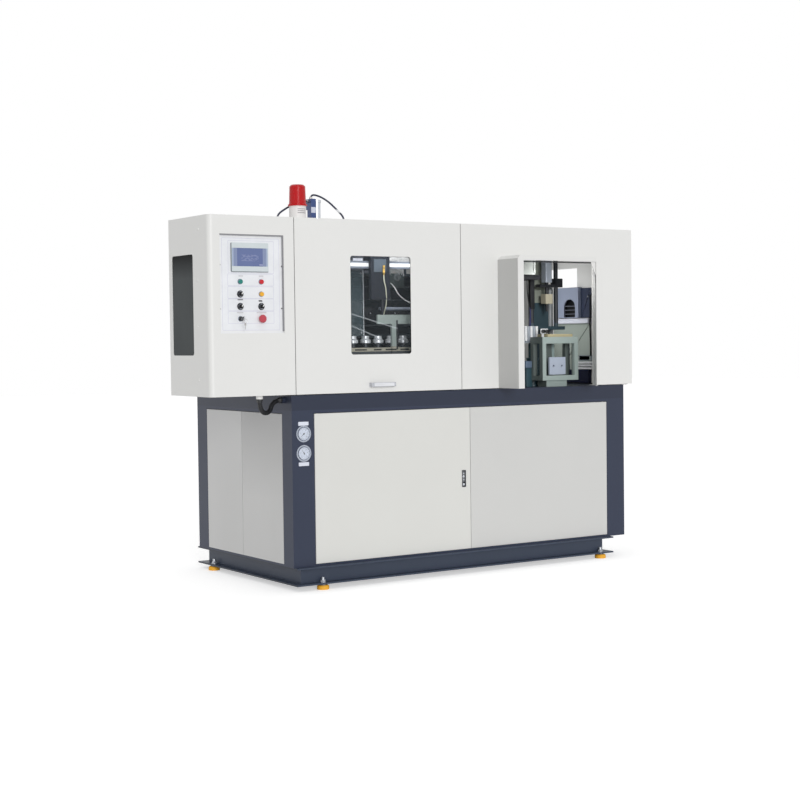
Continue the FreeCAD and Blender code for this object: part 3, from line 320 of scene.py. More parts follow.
# -------- plinth and base frame
# Welded beams and folded sheet, sprayed with a dark navy semi-gloss enamel. The spray leaves a
# fine orange peel. The frame's top rail and left end rail, and the plinth's left face, are painted
# darker for the shade they lie in.
def enamel(name, colour, gloss=0.38, cloud=0.03, peel=0.1, shine=0.5, shade_patches=()):
    """Sprayed and baked enamel: orange peel and a faint cloudiness. A shade patch is an axis, the
    limits along it and how much lighter or darker the paint is made there: painted light or shade."""
    f, colour = Finish(name), swatch(*colour)
    tone, skin = f.noise(2.1, 3.0), f.noise(380.0, 2.0)
    paint = f.blend(tone, near(colour, 1.0 - cloud), near(colour, 1.0 + cloud))
    for axis, low, high, share in shade_patches:
        at = f.along(axis)
        paint = f.blend((at > low) * (at < high), paint, near(colour, share))
    return f.set(Base_Color=paint, Roughness=tone * 0.1 + (gloss - 0.05),
        Normal=f.bump(skin, peel, 0.0004), Specular_IOR_Level=shine)


# Painted shade: the top rail under the cabinet and the left end rail are made darker.
navy = enamel("navy_enamel", (50, 57, 76), 0.4, 0.07, 0.14, 0.3,
    [("Z", 0.925, 1.0032, 0.78), ("X", -0.937, -0.9353, 0.42)])
# Painted shade: the plinth's left face is made darker.
plinth_navy = enamel("plinth_enamel", (58, 67, 84), 0.4, 0.07, 0.14, 0.3,
    [("X", -0.916, -0.9143, 0.5)])
for node in ("base_frame", "deck_plate"):
    dress(node, navy)
dress("plinth_frame", plinth_navy)

# -------- panels and doors of the base
# Folded steel leaves in a warm light grey enamel. The right and rear panels are held by
# button-head screws, and the two at the left end lift off.
panel_grey = enamel("panel_enamel", (222, 222, 218), 0.42, 0.025)
# Painted light on the end panels: soft vertical streaks stand for shading and reflection across the
# sheet, and the front panel runs darker towards its top for the shade under the control box.
for node, painted_top_tone in (("end_panel_front", 184), ("end_panel_rear", 206)):
    lift_off = Finish(node + "_enamel")
    painted_sheen = lift_off.noise(3.2, 3.0, (1.0, 1.0, 0.15))
    painted_top_share = ((lift_off.along("Z") - 0.45) * 2.5).kept()
    tone = lift_off.tones(painted_sheen, (202, 202, 201), (214, 214, 213))
    tone = lift_off.blend(painted_top_share, tone, swatch(painted_top_tone, painted_top_tone, painted_top_tone))
    dress(node, lift_off.set(Base_Color=tone, Roughness=painted_sheen * 0.12 + 0.32,
        Normal=lift_off.bump(lift_off.noise(380.0), 0.1, 0.0004)))
for node in ("base_door_left", "base_rear_panel", "base_right_panel"):
    dress(node, panel_grey)
dress("base_door_right", enamel("right_door_enamel", (211, 211, 209), 0.42, 0.025))


def recess(way, rim, depth=0.0):
    """Sets a field into the face that looks one way: a rim in from its edges, and sunk."""
    choose("FACE", lambda p, n: n.dot(Vector(way)) > 0.9)
    bpy.ops.mesh.inset(thickness=rim * mm)
    if depth:
        pull(Vector(way) * -depth * mm)


def screw(name, place, way, radius=5, finish=zinc, body="machine"):
    """A button-head screw with a socket, standing on a surface and facing a given way."""
    shoulder, crown, crown_up, socket = radius * 0.3, radius * 0.72, radius * 0.62, radius * 0.35
    turned(name, place, way, [(radius, -0.4), (radius, shoulder), (crown, crown_up)], 20)
    recess(way, radius * 0.3, socket)
    return close(finish, body)


RIGHT, REAR = (1, 0, 0), (0, 1, 0)
again(screw("right_panel_screw", (1.311, -0.34, 0.16), RIGHT), (0, 0.824, 0), (0, 0, 0.718),
    (0, 0.824, 0.718))
again(screw("rear_panel_screw", (-0.765, 0.6215, 0.16), REAR),
    *[(0.648 * i, 0, h) for i in range(4) for h in (0, 0.718) if i or h])

# -------- door latch
# A flush zinc latch let into the left door: a shallow dark tray with a lift-out lever, two
# rivets and a ring on the lever, and a lock barrel under it.
latch_zinc = plated("latch_zinc", (92, 94, 98), 0.42, (1, 1, 0.2), 0.7)
dress("latch_tray", latch_zinc)
dress("latch_lever", plated("lever_zinc", (128, 130, 134), 0.36, (1, 1, 0.2), 0.8))
FRONT = (0, -1, 0)
turned("latch_barrel", (0.154, -0.4495, 0.487), FRONT, [(7.5, 0), (7.5, 11), (6.8, 12), (5, 12),
    (5, 10.5)], 24)
close(zinc)
turned("lever_ring", (0.154, -0.4605, 0.53), FRONT, [(6, 0), (6, 1.6), (4.8, 2.2), (4, 1)], 24)
close(zinc, "latch_lever")
again(screw("lever_rivet", (0.154, -0.4605, 0.547), FRONT, 3.8, body="latch_lever"), (0, 0, -0.034))

# -------- pressure gauges
# Two chromed gauges let into the front left post: white dials with plain scales, black
# needles on black hubs, flat glasses, three screws in each flange, and a bare name plate.
chrome = plated("gauge_chrome", (168, 174, 186), 0.2)
dial_white = moulded("dial_enamel", (216, 224, 240), 0.4)
scale_ink = moulded("scale_ink", (30, 32, 36), 0.6)
plate_white = moulded("name_plate", (226, 230, 242), 0.35)
glass = Finish("gauge_glass")
haze = glass.noise(30.0, 3.0)
glass = glass.set(Base_Color=glass.tones(haze, (225, 232, 240), (245, 248, 250)),
    Roughness=haze * 0.05 + 0.03, Alpha=0.12)
gauge_x, flange_y, dial_y, ink_y = -0.851, -0.4655, -0.4665, -0.46705
needle_y, glass_y = -0.4687, -0.47
mark_ring, figure_ring, screw_ring = 0.0265, 0.0195, 0.0396


def figure(name, text, place):
    """A small black figure, 6.5 mm high, printed on a dial."""
    bpy.ops.object.select_all(action="DESELECT")
    bpy.ops.object.text_add(rotation=(math.pi / 2, 0, 0))
    ink = bpy.context.object
    ink.data.body, ink.data.size, ink.data.extrude = text, 0.0065, 0.00008
    ink.data.align_x, ink.data.align_y, ink.data.resolution_u = "CENTER", "CENTER", 3
    bpy.ops.object.convert(target="MESH")
    opened(name)
    bpy.ops.transform.translate(value=place)
    close(scale_ink)


for side, z in (("upper", 0.806), ("lower", 0.706)):
    dress("gauge_" + side, chrome)
    dress("gauge_%s_needle" % side, scale_ink)
    turned("dial_" + side, (gauge_x, dial_y, z), FRONT, [(31.2, 0), (31.2, 0.3), (30.6, 0.5)], 48)
    close(dial_white)
    bpy.ops.object.select_all(action="DESELECT")
    bpy.ops.mesh.primitive_cube_add(size=1, location=(gauge_x, ink_y, z + mark_ring),
        scale=(0.0008, 0.0002, 0.0042))
    opened("scale_" + side)
    bpy.ops.transform.rotate(value=math.radians(135), orient_axis="Y",
        center_override=(gauge_x, dial_y, z))
    bpy.ops.mesh.spin(steps=20, angle=math.radians(270), center=(gauge_x, dial_y, z), axis=REAR,
        dupli=True)
    close(scale_ink)
    for k in range(6):
        angle = math.radians(225 - 54 * k)
        place = (gauge_x + figure_ring * math.cos(angle), ink_y, z + figure_ring * math.sin(angle))
        figure("figure_%s_%d" % (side, k), str(2 * k), place)
    turned("needle_hub_" + side, (gauge_x, needle_y, z), FRONT, [(3.6, 0), (3.6, 1), (2.4, 1.3)],
        20)
    close(scale_ink, side + "_needle")
    turned("gauge_glass_" + side, (gauge_x, glass_y, z), FRONT, [(32.7, 0), (33, 0.6), (32, 0.9)],
        48)
    close(glass)
    for k in range(3):
        angle = math.radians(90 + 120 * k)
        place = (gauge_x + screw_ring * math.cos(angle), flange_y, z + screw_ring * math.sin(angle))
        screw("gauge_screw_%s_%d" % (side, k + 1), place, FRONT, 2.6)


def block(name, low, high, corner=0.0, across=0):
    """Opens a block between two corners; the edges along one axis may have round corners."""
    bpy.ops.object.select_all(action="DESELECT")
    low, high = Vector(low), Vector(high)
    bpy.ops.mesh.primitive_cube_add(size=1, location=(low + high) / 2, scale=high - low)
    opened(name)
    if corner:
        choose("EDGE", lambda p, d: abs(d[across]) > 0.9)
        bpy.ops.mesh.bevel(offset=corner * mm, segments=5, affect="EDGES")


def box(name, low, high, corner, across, finish, edge=0.0, field=None, body="machine"):
    """A finished block. Where it has a field, that says which way it looks, its rim and depth."""
    block(name, low, high, corner, across)
    if field:
        recess(*field)
    return close(finish, body, edge)


for side, z in (("upper", 0.858), ("lower", 0.651)):
    box("gauge_plate_" + side, (-0.881, -0.464, z - 0.0095), (-0.821, -0.4625, z + 0.0095), 2.5, 1,
        plate_white, field=(FRONT, 1.6, 0.4))
    again(screw("plate_rivet_" + side, (-0.8775, -0.4638, z), FRONT, 1.4), (0.053, 0, 0))

# -------- cabinet frame, skins and roof
# A welded tube frame in pale grey-green, clad with off-white enamelled sheet. The carriage
# beam inside carries a bright ground rail along its upper half.
cabinet_white = enamel("cabinet_enamel", (232, 232, 230), 0.42, 0.018)
for node in ("cabinet_roof", "cabinet_left_skin", "cabinet_rear_skin", "cabinet_right_skin",
        "window_door", "right_front_panel", "control_box"):
    dress(node, cabinet_white)
tube_paint = Finish("frame_enamel")
up, beam_y, beam_z = tube_paint.along("Z"), -0.2975, 1.683
beam = (abs(up - beam_z) < 0.0215) * (abs(tube_paint.along("Y") - beam_y) < 0.016)
rail = beam * (up > 1.6735) * (up < 1.692)
coat = tube_paint.tones(tube_paint.noise(2.0, 3.0), (184, 190, 184), (198, 203, 198))
coat = tube_paint.blend(beam, coat, swatch(104, 112, 124))
dress("cabinet_frame", tube_paint.set(Base_Color=tube_paint.blend(rail, coat,
    swatch(246, 249, 252)), Metallic=rail * 0.1, Roughness=0.42 - rail * 0.18,
    Normal=tube_paint.bump(tube_paint.noise(300.0), 0.1, 0.0004)))
again(screw("rear_skin_screw", (-0.87, 0.6325, 1.024), REAR, 4.5),
    *[(0.2764 * i, 0, h) for i in range(9) for h in (0, 0.866) if i or h])
again(screw("side_skin_screw", (1.374, -0.415, 1.024), RIGHT, 4.5),
    *[(0, 0.253 * i, h) for i in range(5) for h in (0, 0.866) if i or h])


# -------- window door
# The lifting door's acrylic pane, with two long rub marks, sits behind its opening on a thin
# black rubber bead. A satin grip strip is screwed to the folded handle.
def pierced(width, across=1):
    """Cuts the open piece right through, leaving a rim of that width."""
    choose("FACE", lambda p, n: abs(n[across]) > 0.9)
    bpy.ops.mesh.inset(thickness=width * mm)
    bpy.ops.mesh.bridge_edge_loops()
    faced()


def surround(name, low, high, corner, width, across=1):
    """Opens a flat frame with round corners."""
    block(name, low, high, corner, across)
    pierced(width, across)


bead_rubber = moulded("bead_rubber", (28, 29, 31), 0.6)
surround("window_bead", (-0.56, -0.4672, 1.206), (-0.185, -0.4646, 1.719), 14, 1.2)
close(bead_rubber, "window_door")
acrylic = Finish("window_acrylic")
smear = acrylic.noise(5.0, 4.0, (1.0, 1.0, 0.4))
across, up = acrylic.along("X"), acrylic.along("Z")
rub_wide = 0.0035
upper_rub, lower_rub = [(abs(up + across * slope - height) < rub_wide) * (across < end)
    for slope, height, end in ((0.272, 1.2669, -0.27), (0.372, 1.1493, -0.37))]
rub = upper_rub + lower_rub
acrylic = acrylic.set(Base_Color=acrylic.tones(rub, (136, 146, 154), (214, 222, 228)),
    Roughness=smear * 0.06 + 0.03, Alpha=smear * 0.05 + rub * 0.16 + 0.02)
dress("window_pane", acrylic)
handle_grey = moulded("handle_cast", (188, 190, 196), 0.42)
dress("window_door_handle", handle_grey)
satin = plated("satin_aluminium", (226, 228, 232), 0.34, (0.1, 1, 1))
box("handle_grip", (-0.439, -0.4969, 1.0385), (-0.314, -0.4955, 1.0555), 3, 1, satin,
    field=(FRONT, 2.2, 0.5), body="window_door")
again(screw("handle_screw", (-0.4455, -0.4955, 1.047), FRONT, 3.2, body="window_door"),
    (0.138, 0, 0))

# -------- outlet hood
# Folded and welded off-white sheet over the outlet, open below. A gusset stiffens its upper
# right corner on the inside. Its left side is painted darker for the shade it lies in.
hood_white = enamel("hood_enamel", (230, 230, 228), 0.42, 0.018,
    shade_patches=[("X", 0.39, 0.3965, 0.66)])
dress("outlet_hood", hood_white)
gusset, gusset_y = [(0.9495, 1.7055), (0.9495, 1.632), (0.914, 1.7055)], -0.6435
bpy.ops.object.select_all(action="DESELECT")
bpy.ops.mesh.primitive_circle_add(vertices=3, radius=0.02, fill_type="NGON",
    location=(0.935, gusset_y, 1.68), rotation=(math.pi / 2, 0, 0))
opened("hood_gusset")
sheet = bmesh.from_edit_mesh(bpy.context.object.data)
for corner, (x, z) in zip(sheet.verts, gusset):
    corner.co = (x, gusset_y, z)
bmesh.update_edit_mesh(bpy.context.object.data)
bpy.ops.mesh.select_all(action="SELECT")
pull((0, 0.003, 0))
faced()
close(hood_white, edge=0.6)

DOWN = (0, 0, -1)
# A black strip along the top of the opening paints the shadow under the hood's top flange.
box("hood_shadow_strip", (0.44, -0.6474, 1.6955), (0.913, -0.641, 1.7025), 1, 0, bead_rubber,
    field=(DOWN, 1, 1.5))

# -------- seam seals
# Black rubber strip fills the gaps beside the window door and between the two end panels. It
# is pressed in, a little behind the sheets. A wider strip closes the cabinet's right end to
# the deck.
for name, low, high in (("seam_seal_1", (-0.8947, -0.464, 1.008), (-0.8913, -0.448, 1.904)),
        ("seam_seal_2", (0.1423, -0.464, 1.008), (0.1457, -0.448, 1.904)),
        ("seam_seal_3", (-0.9165, 0.0862, 0.134), (-0.9, 0.0888, 0.904)),
        ("deck_gasket", (1.29, -0.43, 1.0028), (1.3725, 0.62, 1.0072))):
    box(name, low, high, 0.6, 2, bead_rubber)

# -------- control box
# A bent sheet shell with a smoked acrylic side window on black seal strip. Four painted
# plugs fill the lifting holes in its left face.
smoked = Finish("smoked_acrylic")
fade = smoked.noise(2.6, 3.0, (1.0, 1.0, 0.5))
top_shade = ((smoked.along("Z") - 1.6) * 9.0).kept()
tone = smoked.tones(fade, (62, 66, 68), (92, 96, 97))
smoked = smoked.set(Base_Color=smoked.blend(top_shade, tone, swatch(24, 26, 28)),
    Roughness=fade * 0.1 + 0.08, Alpha=0.99, Specular_IOR_Level=0.03)
dress("control_box_pane", smoked)
surround("side_seal", (-1.3722, -0.303, 1.1995), (-1.3712, -0.033, 1.7325), 16, 4.5, 0)
close(bead_rubber)
LEFT = (-1, 0, 0)
turned("lifting_plug", (-1.374, -0.355, 1.838), LEFT, [(6.5, -0.3), (6.5, 1), (5, 2.4), (2.4, 2.4),
    (2.4, 1)], 28)
again(close(cabinet_white), (0, 0.014, -0.25), (0, 0.018, -0.481),
    (0, 0.015, -0.747))

# -------- control plate
# A white anodised plate carries the screen and eight switches. Fine raised outlines group
# them, bare legend strips sit above the rows, and four screws hold the plate.
plate_y = -0.4565
dress("control_plate", moulded("plate_anodise", (238, 239, 241), 0.42, 500.0))
outline = moulded("outline_ink", (210, 210, 226), 0.45)
tint = moulded("plate_tint", (237, 239, 243), 0.45)
strip_tones = (("white", 212), ("grey", 140), ("black", 26))
strips = [moulded("legend_" + name, (tone, tone, tone + 4), 0.4) for name, tone in strip_tones]
box("plate_field", (-1.297, plate_y - 0.0003, 1.337), (-0.976, plate_y + 0.0002, 1.793), 4, 1, tint,
    field=(FRONT, 3))
for name, low_x, high_x, low_z, high_z in (("whole", -1.298, -0.975, 1.336, 1.794),
        ("screen", -1.263, -1.006, 1.62, 1.782),
        ("row_1", -1.267, -1.008, 1.557, 1.616), ("row_2", -1.267, -1.008, 1.494, 1.554),
        ("row_3", -1.267, -1.008, 1.433, 1.493), ("row_4", -1.267, -1.008, 1.37, 1.431)):
    surround("outline_" + name, (low_x, plate_y - 0.0007, low_z),
        (high_x, plate_y + 0.0002, high_z), 4, 1.6)
    close(outline)
for i, (x, z, long, dark) in enumerate([(-1.1935, 1.6065, 0.025, 0), (-1.079, 1.6065, 0.026, 0),
        (-1.198, 1.489, 0.03, 1), (-1.0845, 1.4825, 0.02, 2),
        (-1.1995, 1.4245, 0.035, 0), (-1.0795, 1.4245, 0.055, 0)], 1):
    box("legend_%d" % i, (x - long / 2, plate_y - 0.001, z - 0.0035),
        (x + long / 2, plate_y, z + 0.0035), 1.5, 1, strips[dark],
        field=(FRONT, 0.8))
# Grey strips along the top and right edges of the plate's opening paint the shadow of its recess.
for name, low, high in (("plate_shadow_top", (-1.308, -0.466, 1.807), (-0.9542, -0.4563, 1.8128)),
        ("plate_shadow_side", (-0.96, -0.466, 1.33), (-0.9542, -0.4563, 1.8068))):
    box(name, low, high, 0.8, 1, strips[1])
for i, (x, z) in enumerate([(-1.308, 1.66), (-1.308, 1.442), (-0.961, 1.657), (-0.964, 1.445)], 1):
    screw("plate_screw_%d" % i, (x, plate_y, z), FRONT, 3.4, strips[1 if i < 3 else 2])

# -------- touch screen unit
# A moulded pale grey bezel around a lavender-blue display with paler side bands. Its picture
# is out, but for faint rows in the middle and one lit key at the lower right. The film is given a
# faint painted glow of its own colour.
bezel = Finish("screen_bezel")
across, up, grain = bezel.along("X"), bezel.along("Z"), bezel.noise(900.0, 1.0)
screen_x, screen_z = -1.1435, 1.6995
aside = abs(across - screen_x)
sides = (aside > 0.0901) * (aside < 0.1) * (abs(up - screen_z) < 0.045)
shade = ((across < -1.2452) + (up < 1.6288)).kept()
paint = bezel.blend(sides, bezel.tones(bezel.noise(14.0), (204, 213, 216), (213, 221, 224)),
    swatch(160, 174, 200))
dress("hmi_unit", bezel.set(Base_Color=bezel.blend(shade, paint, swatch(104, 112, 118)),
    Roughness=0.45, Normal=bezel.bump(grain, 0.25, 0.0002)))
display = Finish("display_film")
across, up = display.along("X"), display.along("Z")
glowing = display.tones(display.noise(9.0, 2.0), (88, 102, 146), (102, 116, 160))
rows_x, rows_z, lit_x, lit_z = -1.142, 1.696, -1.08, 1.662
signs = display.noise(90.0, 1.0, (1.0, 1.0, 2.5)) > 0.52
rows = (abs(up - rows_z) < 0.016) * (abs(across - rows_x) < 0.048) * signs
lit = (abs(up - lit_z) < 0.003) * (abs(across - lit_x) < 0.01)
pixels = display.node("ShaderNodeTexChecker", {}, {"Vector": display.place, "Scale": 260.0}, "Fac")
glowing = display.blend(rows * 0.3 + lit * 0.8, glowing, swatch(160, 164, 196))
keys = (across < -1.214) + (across > -1.07)
glowing = display.blend(keys, glowing, swatch(128, 140, 172))
# The faint emission is a painted glow: the display is off.
display.set(Base_Color=glowing, Roughness=pixels * 0.04 + 0.16, Emission_Color=glowing,
    Emission_Strength=0.1)
block("display", (-1.2336, -0.4615, 1.6544), (-1.0534, -0.4608, 1.7446))
recess(FRONT, 1.5, 0.2)
close(display.material)

# -------- switches
# Eight 22 mm switches on chromed bezels: three domed push buttons, three selectors with a
# white pointer on a black collar, a key switch with its key, and a mushroom emergency stop.
dress("switch_bezels", chrome)
for node, colour in (("button_green", (26, 128, 118)), ("button_red", (206, 26, 40)),
        ("button_yellow", (240, 176, 42)),
        ("emergency_stop", (190, 66, 80))):
    dress(node, moulded(node + "_cap", colour, 0.3, 700.0))
knob_black = moulded("knob_black", (12, 12, 14), 0.42)
pointer_white = moulded("pointer_white", (240, 240, 240), 0.5)
for node, body, x, z in (("selector_mode", "mode_selector", -1.198, 1.5165),
        ("selector_left", "left_selector", -1.198, 1.455),
        ("selector_right", "right_selector", -1.08, 1.455)):
    dress(node, knob_black)
    turned("collar_" + node, (x, plate_y + 0.0002, z), FRONT, [(17.8, 0), (17.8, 2.6), (16.8, 3.6)],
        36)
    pierced(2.2)
    close(knob_black)
    block("pointer_" + node, (x - 0.0026, -0.47775, z - 0.001), (x + 0.0026, -0.4774, z + 0.0126),
        1.2, 1)
    recess(FRONT, 0.3)
    bpy.ops.mesh.select_all(action="SELECT")
    bpy.ops.transform.rotate(value=math.radians(-35), orient_axis="Y",
        center_override=(x, -0.4776, z))
    close(pointer_white, body)
key_x, key_y, key_z = -1.198, -0.5085, 1.3935
barrel = Finish("key_barrel")
across, up = barrel.along("X"), barrel.along("Z")
core = (abs(across - key_x) < 0.0055) * (abs(up - key_z) < 0.0055) * (barrel.along("Y") < -0.469)
dull = barrel.noise(40.0, 3.0)
dress("key_switch", barrel.set(Base_Color=barrel.tones(core, (12, 12, 14), (120, 122, 126)),
    Metallic=core * 0.6, Roughness=dull * 0.1 + 0.28, Normal=barrel.bump(barrel.noise(700.0), 0.2,
    0.0002)))


def ring(name, centre, axis, radius, thick, steps=28):
    """Opens a wire ring round an axis, swept from one small circle."""
    bpy.ops.object.select_all(action="DESELECT")
    centre, axis = Vector(centre), Vector(axis).normalized()
    out, radius, thick = axis.orthogonal().normalized(), radius * mm, thick * mm
    bpy.ops.mesh.primitive_circle_add(vertices=8, radius=thick, location=centre + out * radius,
        rotation=axis.cross(out).to_track_quat("Z", "Y").to_euler())
    opened(name)
    bpy.ops.mesh.spin(steps=steps, angle=2 * math.pi, center=centre, axis=axis)
    faced(0.02)


nickel = plated("nickel_fitting", (176, 174, 172), 0.3)
key_silver = plated("key_silver", (236, 237, 240), 0.3, metallic=0.3)
turned("key_bow", (key_x - 0.0014, -0.504, key_z), RIGHT, [(8.5, 0), (9.5, 0.5), (9.5, 2.3),
    (8.5, 2.8)], 28)
close(key_silver, "key_switch")
ring("key_ring", (key_x, key_y, 1.3815), REAR, 11, 0.7)
close(nickel, "key_switch")
block("spare_key", (-1.199, -0.5095, 1.34), (-1.197, -0.5075, 1.358), 0.6, 1)
choose("FACE", lambda p, n: n.z > 0.9)
pull((0, 0, 0.0035))
bpy.ops.transform.resize(value=(7.5, 1, 1), center_override=(key_x, key_y, 1.36))
pull((0, 0, 0.011))
bpy.ops.transform.resize(value=(0.75, 1, 1), center_override=(key_x, key_y, 1.36))
close(nickel, "key_switch", edge=0.3)

# -------- cable conduit
# Black ribbed nylon conduit runs from a gland under the control box to one on the base
# post, bending round the corner. Its ribs are 5 mm apart.
nylon = moulded("conduit_nylon", (30, 31, 34), 0.45, 500.0)


def route(name, points):
    """Opens the smooth line that a hose follows."""
    line = bpy.data.curves.new(name, "CURVE")
    line.dimensions = "3D"
    spline = line.splines.new("NURBS")
    spline.points.add(len(points) - 1)
    for at, point in zip(spline.points, points):
        at.co = (*point, 1.0)
    spline.order_u = 3
    spline.use_endpoint_u = True
    spline.resolution_u = line.resolution_u = 10
    path = bpy.data.objects.new(name, line)
    bpy.context.scene.collection.objects.link(path)
    bpy.ops.object.select_all(action="DESELECT")
    path.select_set(True)
    bpy.context.view_layer.objects.active = path
    return path


def hose(name, points, radius, finish, body="machine"):
    """A round hose or wire, made a mesh with closed ends; its radius is in metres."""
    path = route(name, points)
    path.data.bevel_depth, path.data.bevel_resolution, path.data.use_fill_caps = radius, 3, True
    bpy.ops.object.convert(target="MESH")
    bpy.ops.object.mode_set(mode="EDIT")
    faced(0.01)
    return close(finish, body)


path = route("conduit_route", [(-1.08, -0.4225, 0.989), (-1.08, -0.4225, 0.927),
    (-1.018, -0.4085, 0.911), (-0.982, -0.3845, 0.979), (-0.936, -0.3845, 0.979)])
rib_pitch = 5
turned("conduit", (0, 0, 0), RIGHT, [(10, 0), (10, 1.1), (11.9, 1.7), (11.9, 3.5), (10, 4.1),
    (10, rib_pitch)], 20)
choose("FACE", lambda p, n: abs(n.x) > 0.9)
bpy.ops.mesh.delete(type="FACE")
bpy.ops.object.mode_set(mode="OBJECT")
conduit = bpy.context.object
bpy.ops.object.modifier_add(type="ARRAY")
ribs = conduit.modifiers[0]
ribs.fit_type, ribs.curve, ribs.use_merge_vertices = "FIT_CURVE", path, True
ribs.use_relative_offset, ribs.use_constant_offset = False, True
ribs.constant_offset_displace = (rib_pitch * mm, 0, 0)
bpy.ops.object.modifier_add(type="CURVE")
conduit.modifiers[1].object = path
for step in [m.name for m in conduit.modifiers]:
    bpy.ops.object.modifier_apply(modifier=step)
bpy.data.objects.remove(path)
bpy.ops.object.mode_set(mode="EDIT")
bpy.ops.mesh.select_all(action="SELECT")
bpy.ops.mesh.fill_holes(sides=24)
faced()
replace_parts(close(nylon), "control_conduit")
for name, foot, along in (("conduit_gland", (-1.08, -0.4225, 0.9905), DOWN),
        ("base_gland", (-0.936, -0.3845, 0.979), LEFT)):
    turned(name, foot, along, [(16.5, 0), (16.5, 10), (14.2, 12), (14.2, 19), (12.3, 21)], 6)
    close(nylon, edge=0.6)

# -------- roof: warning lamp
# A white moulded base, slotted for the sounder, under a ribbed red lens.
lamp_base = Finish("lamp_base")
height, depth, wide = lamp_base.along("Z"), lamp_base.along("Y"), lamp_base.along("X")
lamp_x, slots_z = -0.795, 1.948
slots = (abs(height - slots_z) < 0.013) * (depth < -0.35) * (abs(wide - lamp_x) < 0.022)
slots = slots * (lamp_base.waves(32.0) > 0.62)
dress("beacon_base", lamp_base.set(Base_Color=lamp_base.tones(slots, (233, 231, 230),
    (150, 146, 150)), Roughness=lamp_base.noise(20.0) * 0.1 + 0.4,
    Normal=lamp_base.bump(lamp_base.noise(500.0), 0.1, 0.0002)))
lens_red = Finish("lens_red")
flute = lens_red.waves(60.0)
dress("beacon_dome", lens_red.set(Base_Color=lens_red.tones(flute, (176, 8, 16), (204, 16, 24)),
    Roughness=flute * 0.08 + 0.2, Normal=lens_red.bump(flute, 0.4, 0.001), Specular_IOR_Level=0.3,
    Alpha=0.97))

# -------- roof: air valve, cylinder and hoses
# A small anodised valve block and a square air cylinder stand on the roof. Two dark blue
# polyurethane hoses run from push-in fittings on the block into glands in the roof.
valve = Finish("valve_block")
level_z = valve.along("Z")
band = (abs(level_z - 1.964) < 0.015) * (valve.along("Y") < -0.296)
dress("roof_valve_block", valve.set(Base_Color=valve.tones(band, (58, 78, 128), (206, 212, 226)),
    Roughness=valve.noise(60.0, 3.0) * 0.15 + 0.28, Metallic=0.2))
drawn = plated("drawn_aluminium", (206, 210, 216), 0.3, (1.0, 1.0, 0.06), 0.9)
dress("roof_cylinder", drawn)
for x in (-0.6575, -0.623):
    for y in (-0.285, -0.25):
        turned("cylinder_nut_%d_%d" % (-x * 1e4, -y * 1e4), (x, y, 2.0188), UP,
            [(3.6, 0), (3.6, 2.8), (2, 2.8), (2, 5.2)], 6)
        close(zinc)
hose_blue = Finish("hose_polyurethane")
mark = (abs(hose_blue.along("Z") - 1.964) < 0.008) * (hose_blue.along("X") > -0.56)
cloud = hose_blue.noise(40.0, 2.0)
hose_blue.set(Base_Color=hose_blue.blend(mark, hose_blue.tones(cloud, (34, 38, 58), (52, 58, 84)),
    swatch(220, 222, 226)), Roughness=cloud * 0.1 + 0.26)
right = [(-0.681, -0.2775, 2.022), (-0.681, -0.2775, 2.044), (-0.64, -0.2785, 2.043),
    (-0.58, -0.2815, 2.016), (-0.52, -0.2855, 1.965), (-0.485, -0.2875, 1.932),
    (-0.485, -0.2875, 1.907)]
left = [(-0.69, -0.2675, 2.01), (-0.726, -0.2675, 2.01), (-0.77, -0.2675, 1.997),
    (-0.83, -0.2675, 1.966), (-0.878, -0.2675, 1.934), (-0.878, -0.2675, 1.907)]
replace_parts(hose("hose_right", right, 0.005, hose_blue.material), "roof_hose_right")
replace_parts(hose("hose_left", left, 0.005, hose_blue.material), "roof_hose_left")
for name, foot, along in (("fitting_top", (-0.681, -0.2775, 2.021), UP),
        ("fitting_side", (-0.689, -0.2675, 2.01), LEFT),
        ("roof_gland_right", (-0.485, -0.2875, 1.9065), UP),
        ("roof_gland_left", (-0.878, -0.2675, 1.9065), UP)):
    turned(name, foot, along, [(8.5, 0), (8.5, 7), (7.2, 8.5), (7.2, 12), (5.6, 13)], 18)
    close(nickel if "fitting" in name else knob_black)

# -------- behind the window: spindle line
# Turned spindles with bright ring-grooved heads ride in a dark rail whose cream wear strip
# faces the door. A green painted bracket spans the line.
spindle = Finish("spindle_steel")
head = spindle.along("Z") > 1.259
turn = spindle.waves(70.0)
dress("spindle_train", spindle.set(Base_Color=spindle.blend(head, swatch(52, 56, 62),
    spindle.tones(turn, (170, 176, 182), (236, 240, 244))), Metallic=head * 0.15 + 0.3,
    Roughness=0.4 - head * 0.1, Normal=spindle.bump(turn, 0.3, 0.0006)))
line = Finish("rail_steel")
depth, up = line.along("Y"), line.along("Z")
front = depth < -0.337
strip = front * (up < 1.245) * (up > 1.22)
worn = line.noise(26.0, 4.0, (0.3, 1.0, 1.0))
gap = (line.noise(14.0, 2.0, (1.0, 0.1, 0.1)) > 0.54) * (abs(up - 1.229) < 0.004)
cream = line.tones(worn, (196, 192, 172), (150, 150, 140))
bracket = front * (up > 1.246)
paint = line.blend(strip, line.tones(worn, (58, 62, 66), (78, 84, 88)),
    line.blend(gap, cream, swatch(44, 42, 40)))
dress("spindle_rail", line.set(Base_Color=line.blend(bracket, paint,
    line.tones(worn, (150, 164, 160), (168, 180, 176))), Roughness=worn * 0.2 + 0.36,
    Normal=line.bump(worn, 0.1, 0.0004)))
block("leg_rod", (-0.2045, -0.3562, 1.232), (-0.1965, -0.3536, 1.386), 1, 1)
choose("FACE", lambda p, n: n.z < -0.9)
pull((0, 0, -0.002))
bpy.ops.transform.resize(value=(0.7, 0.7, 1))
close(bead_rubber)

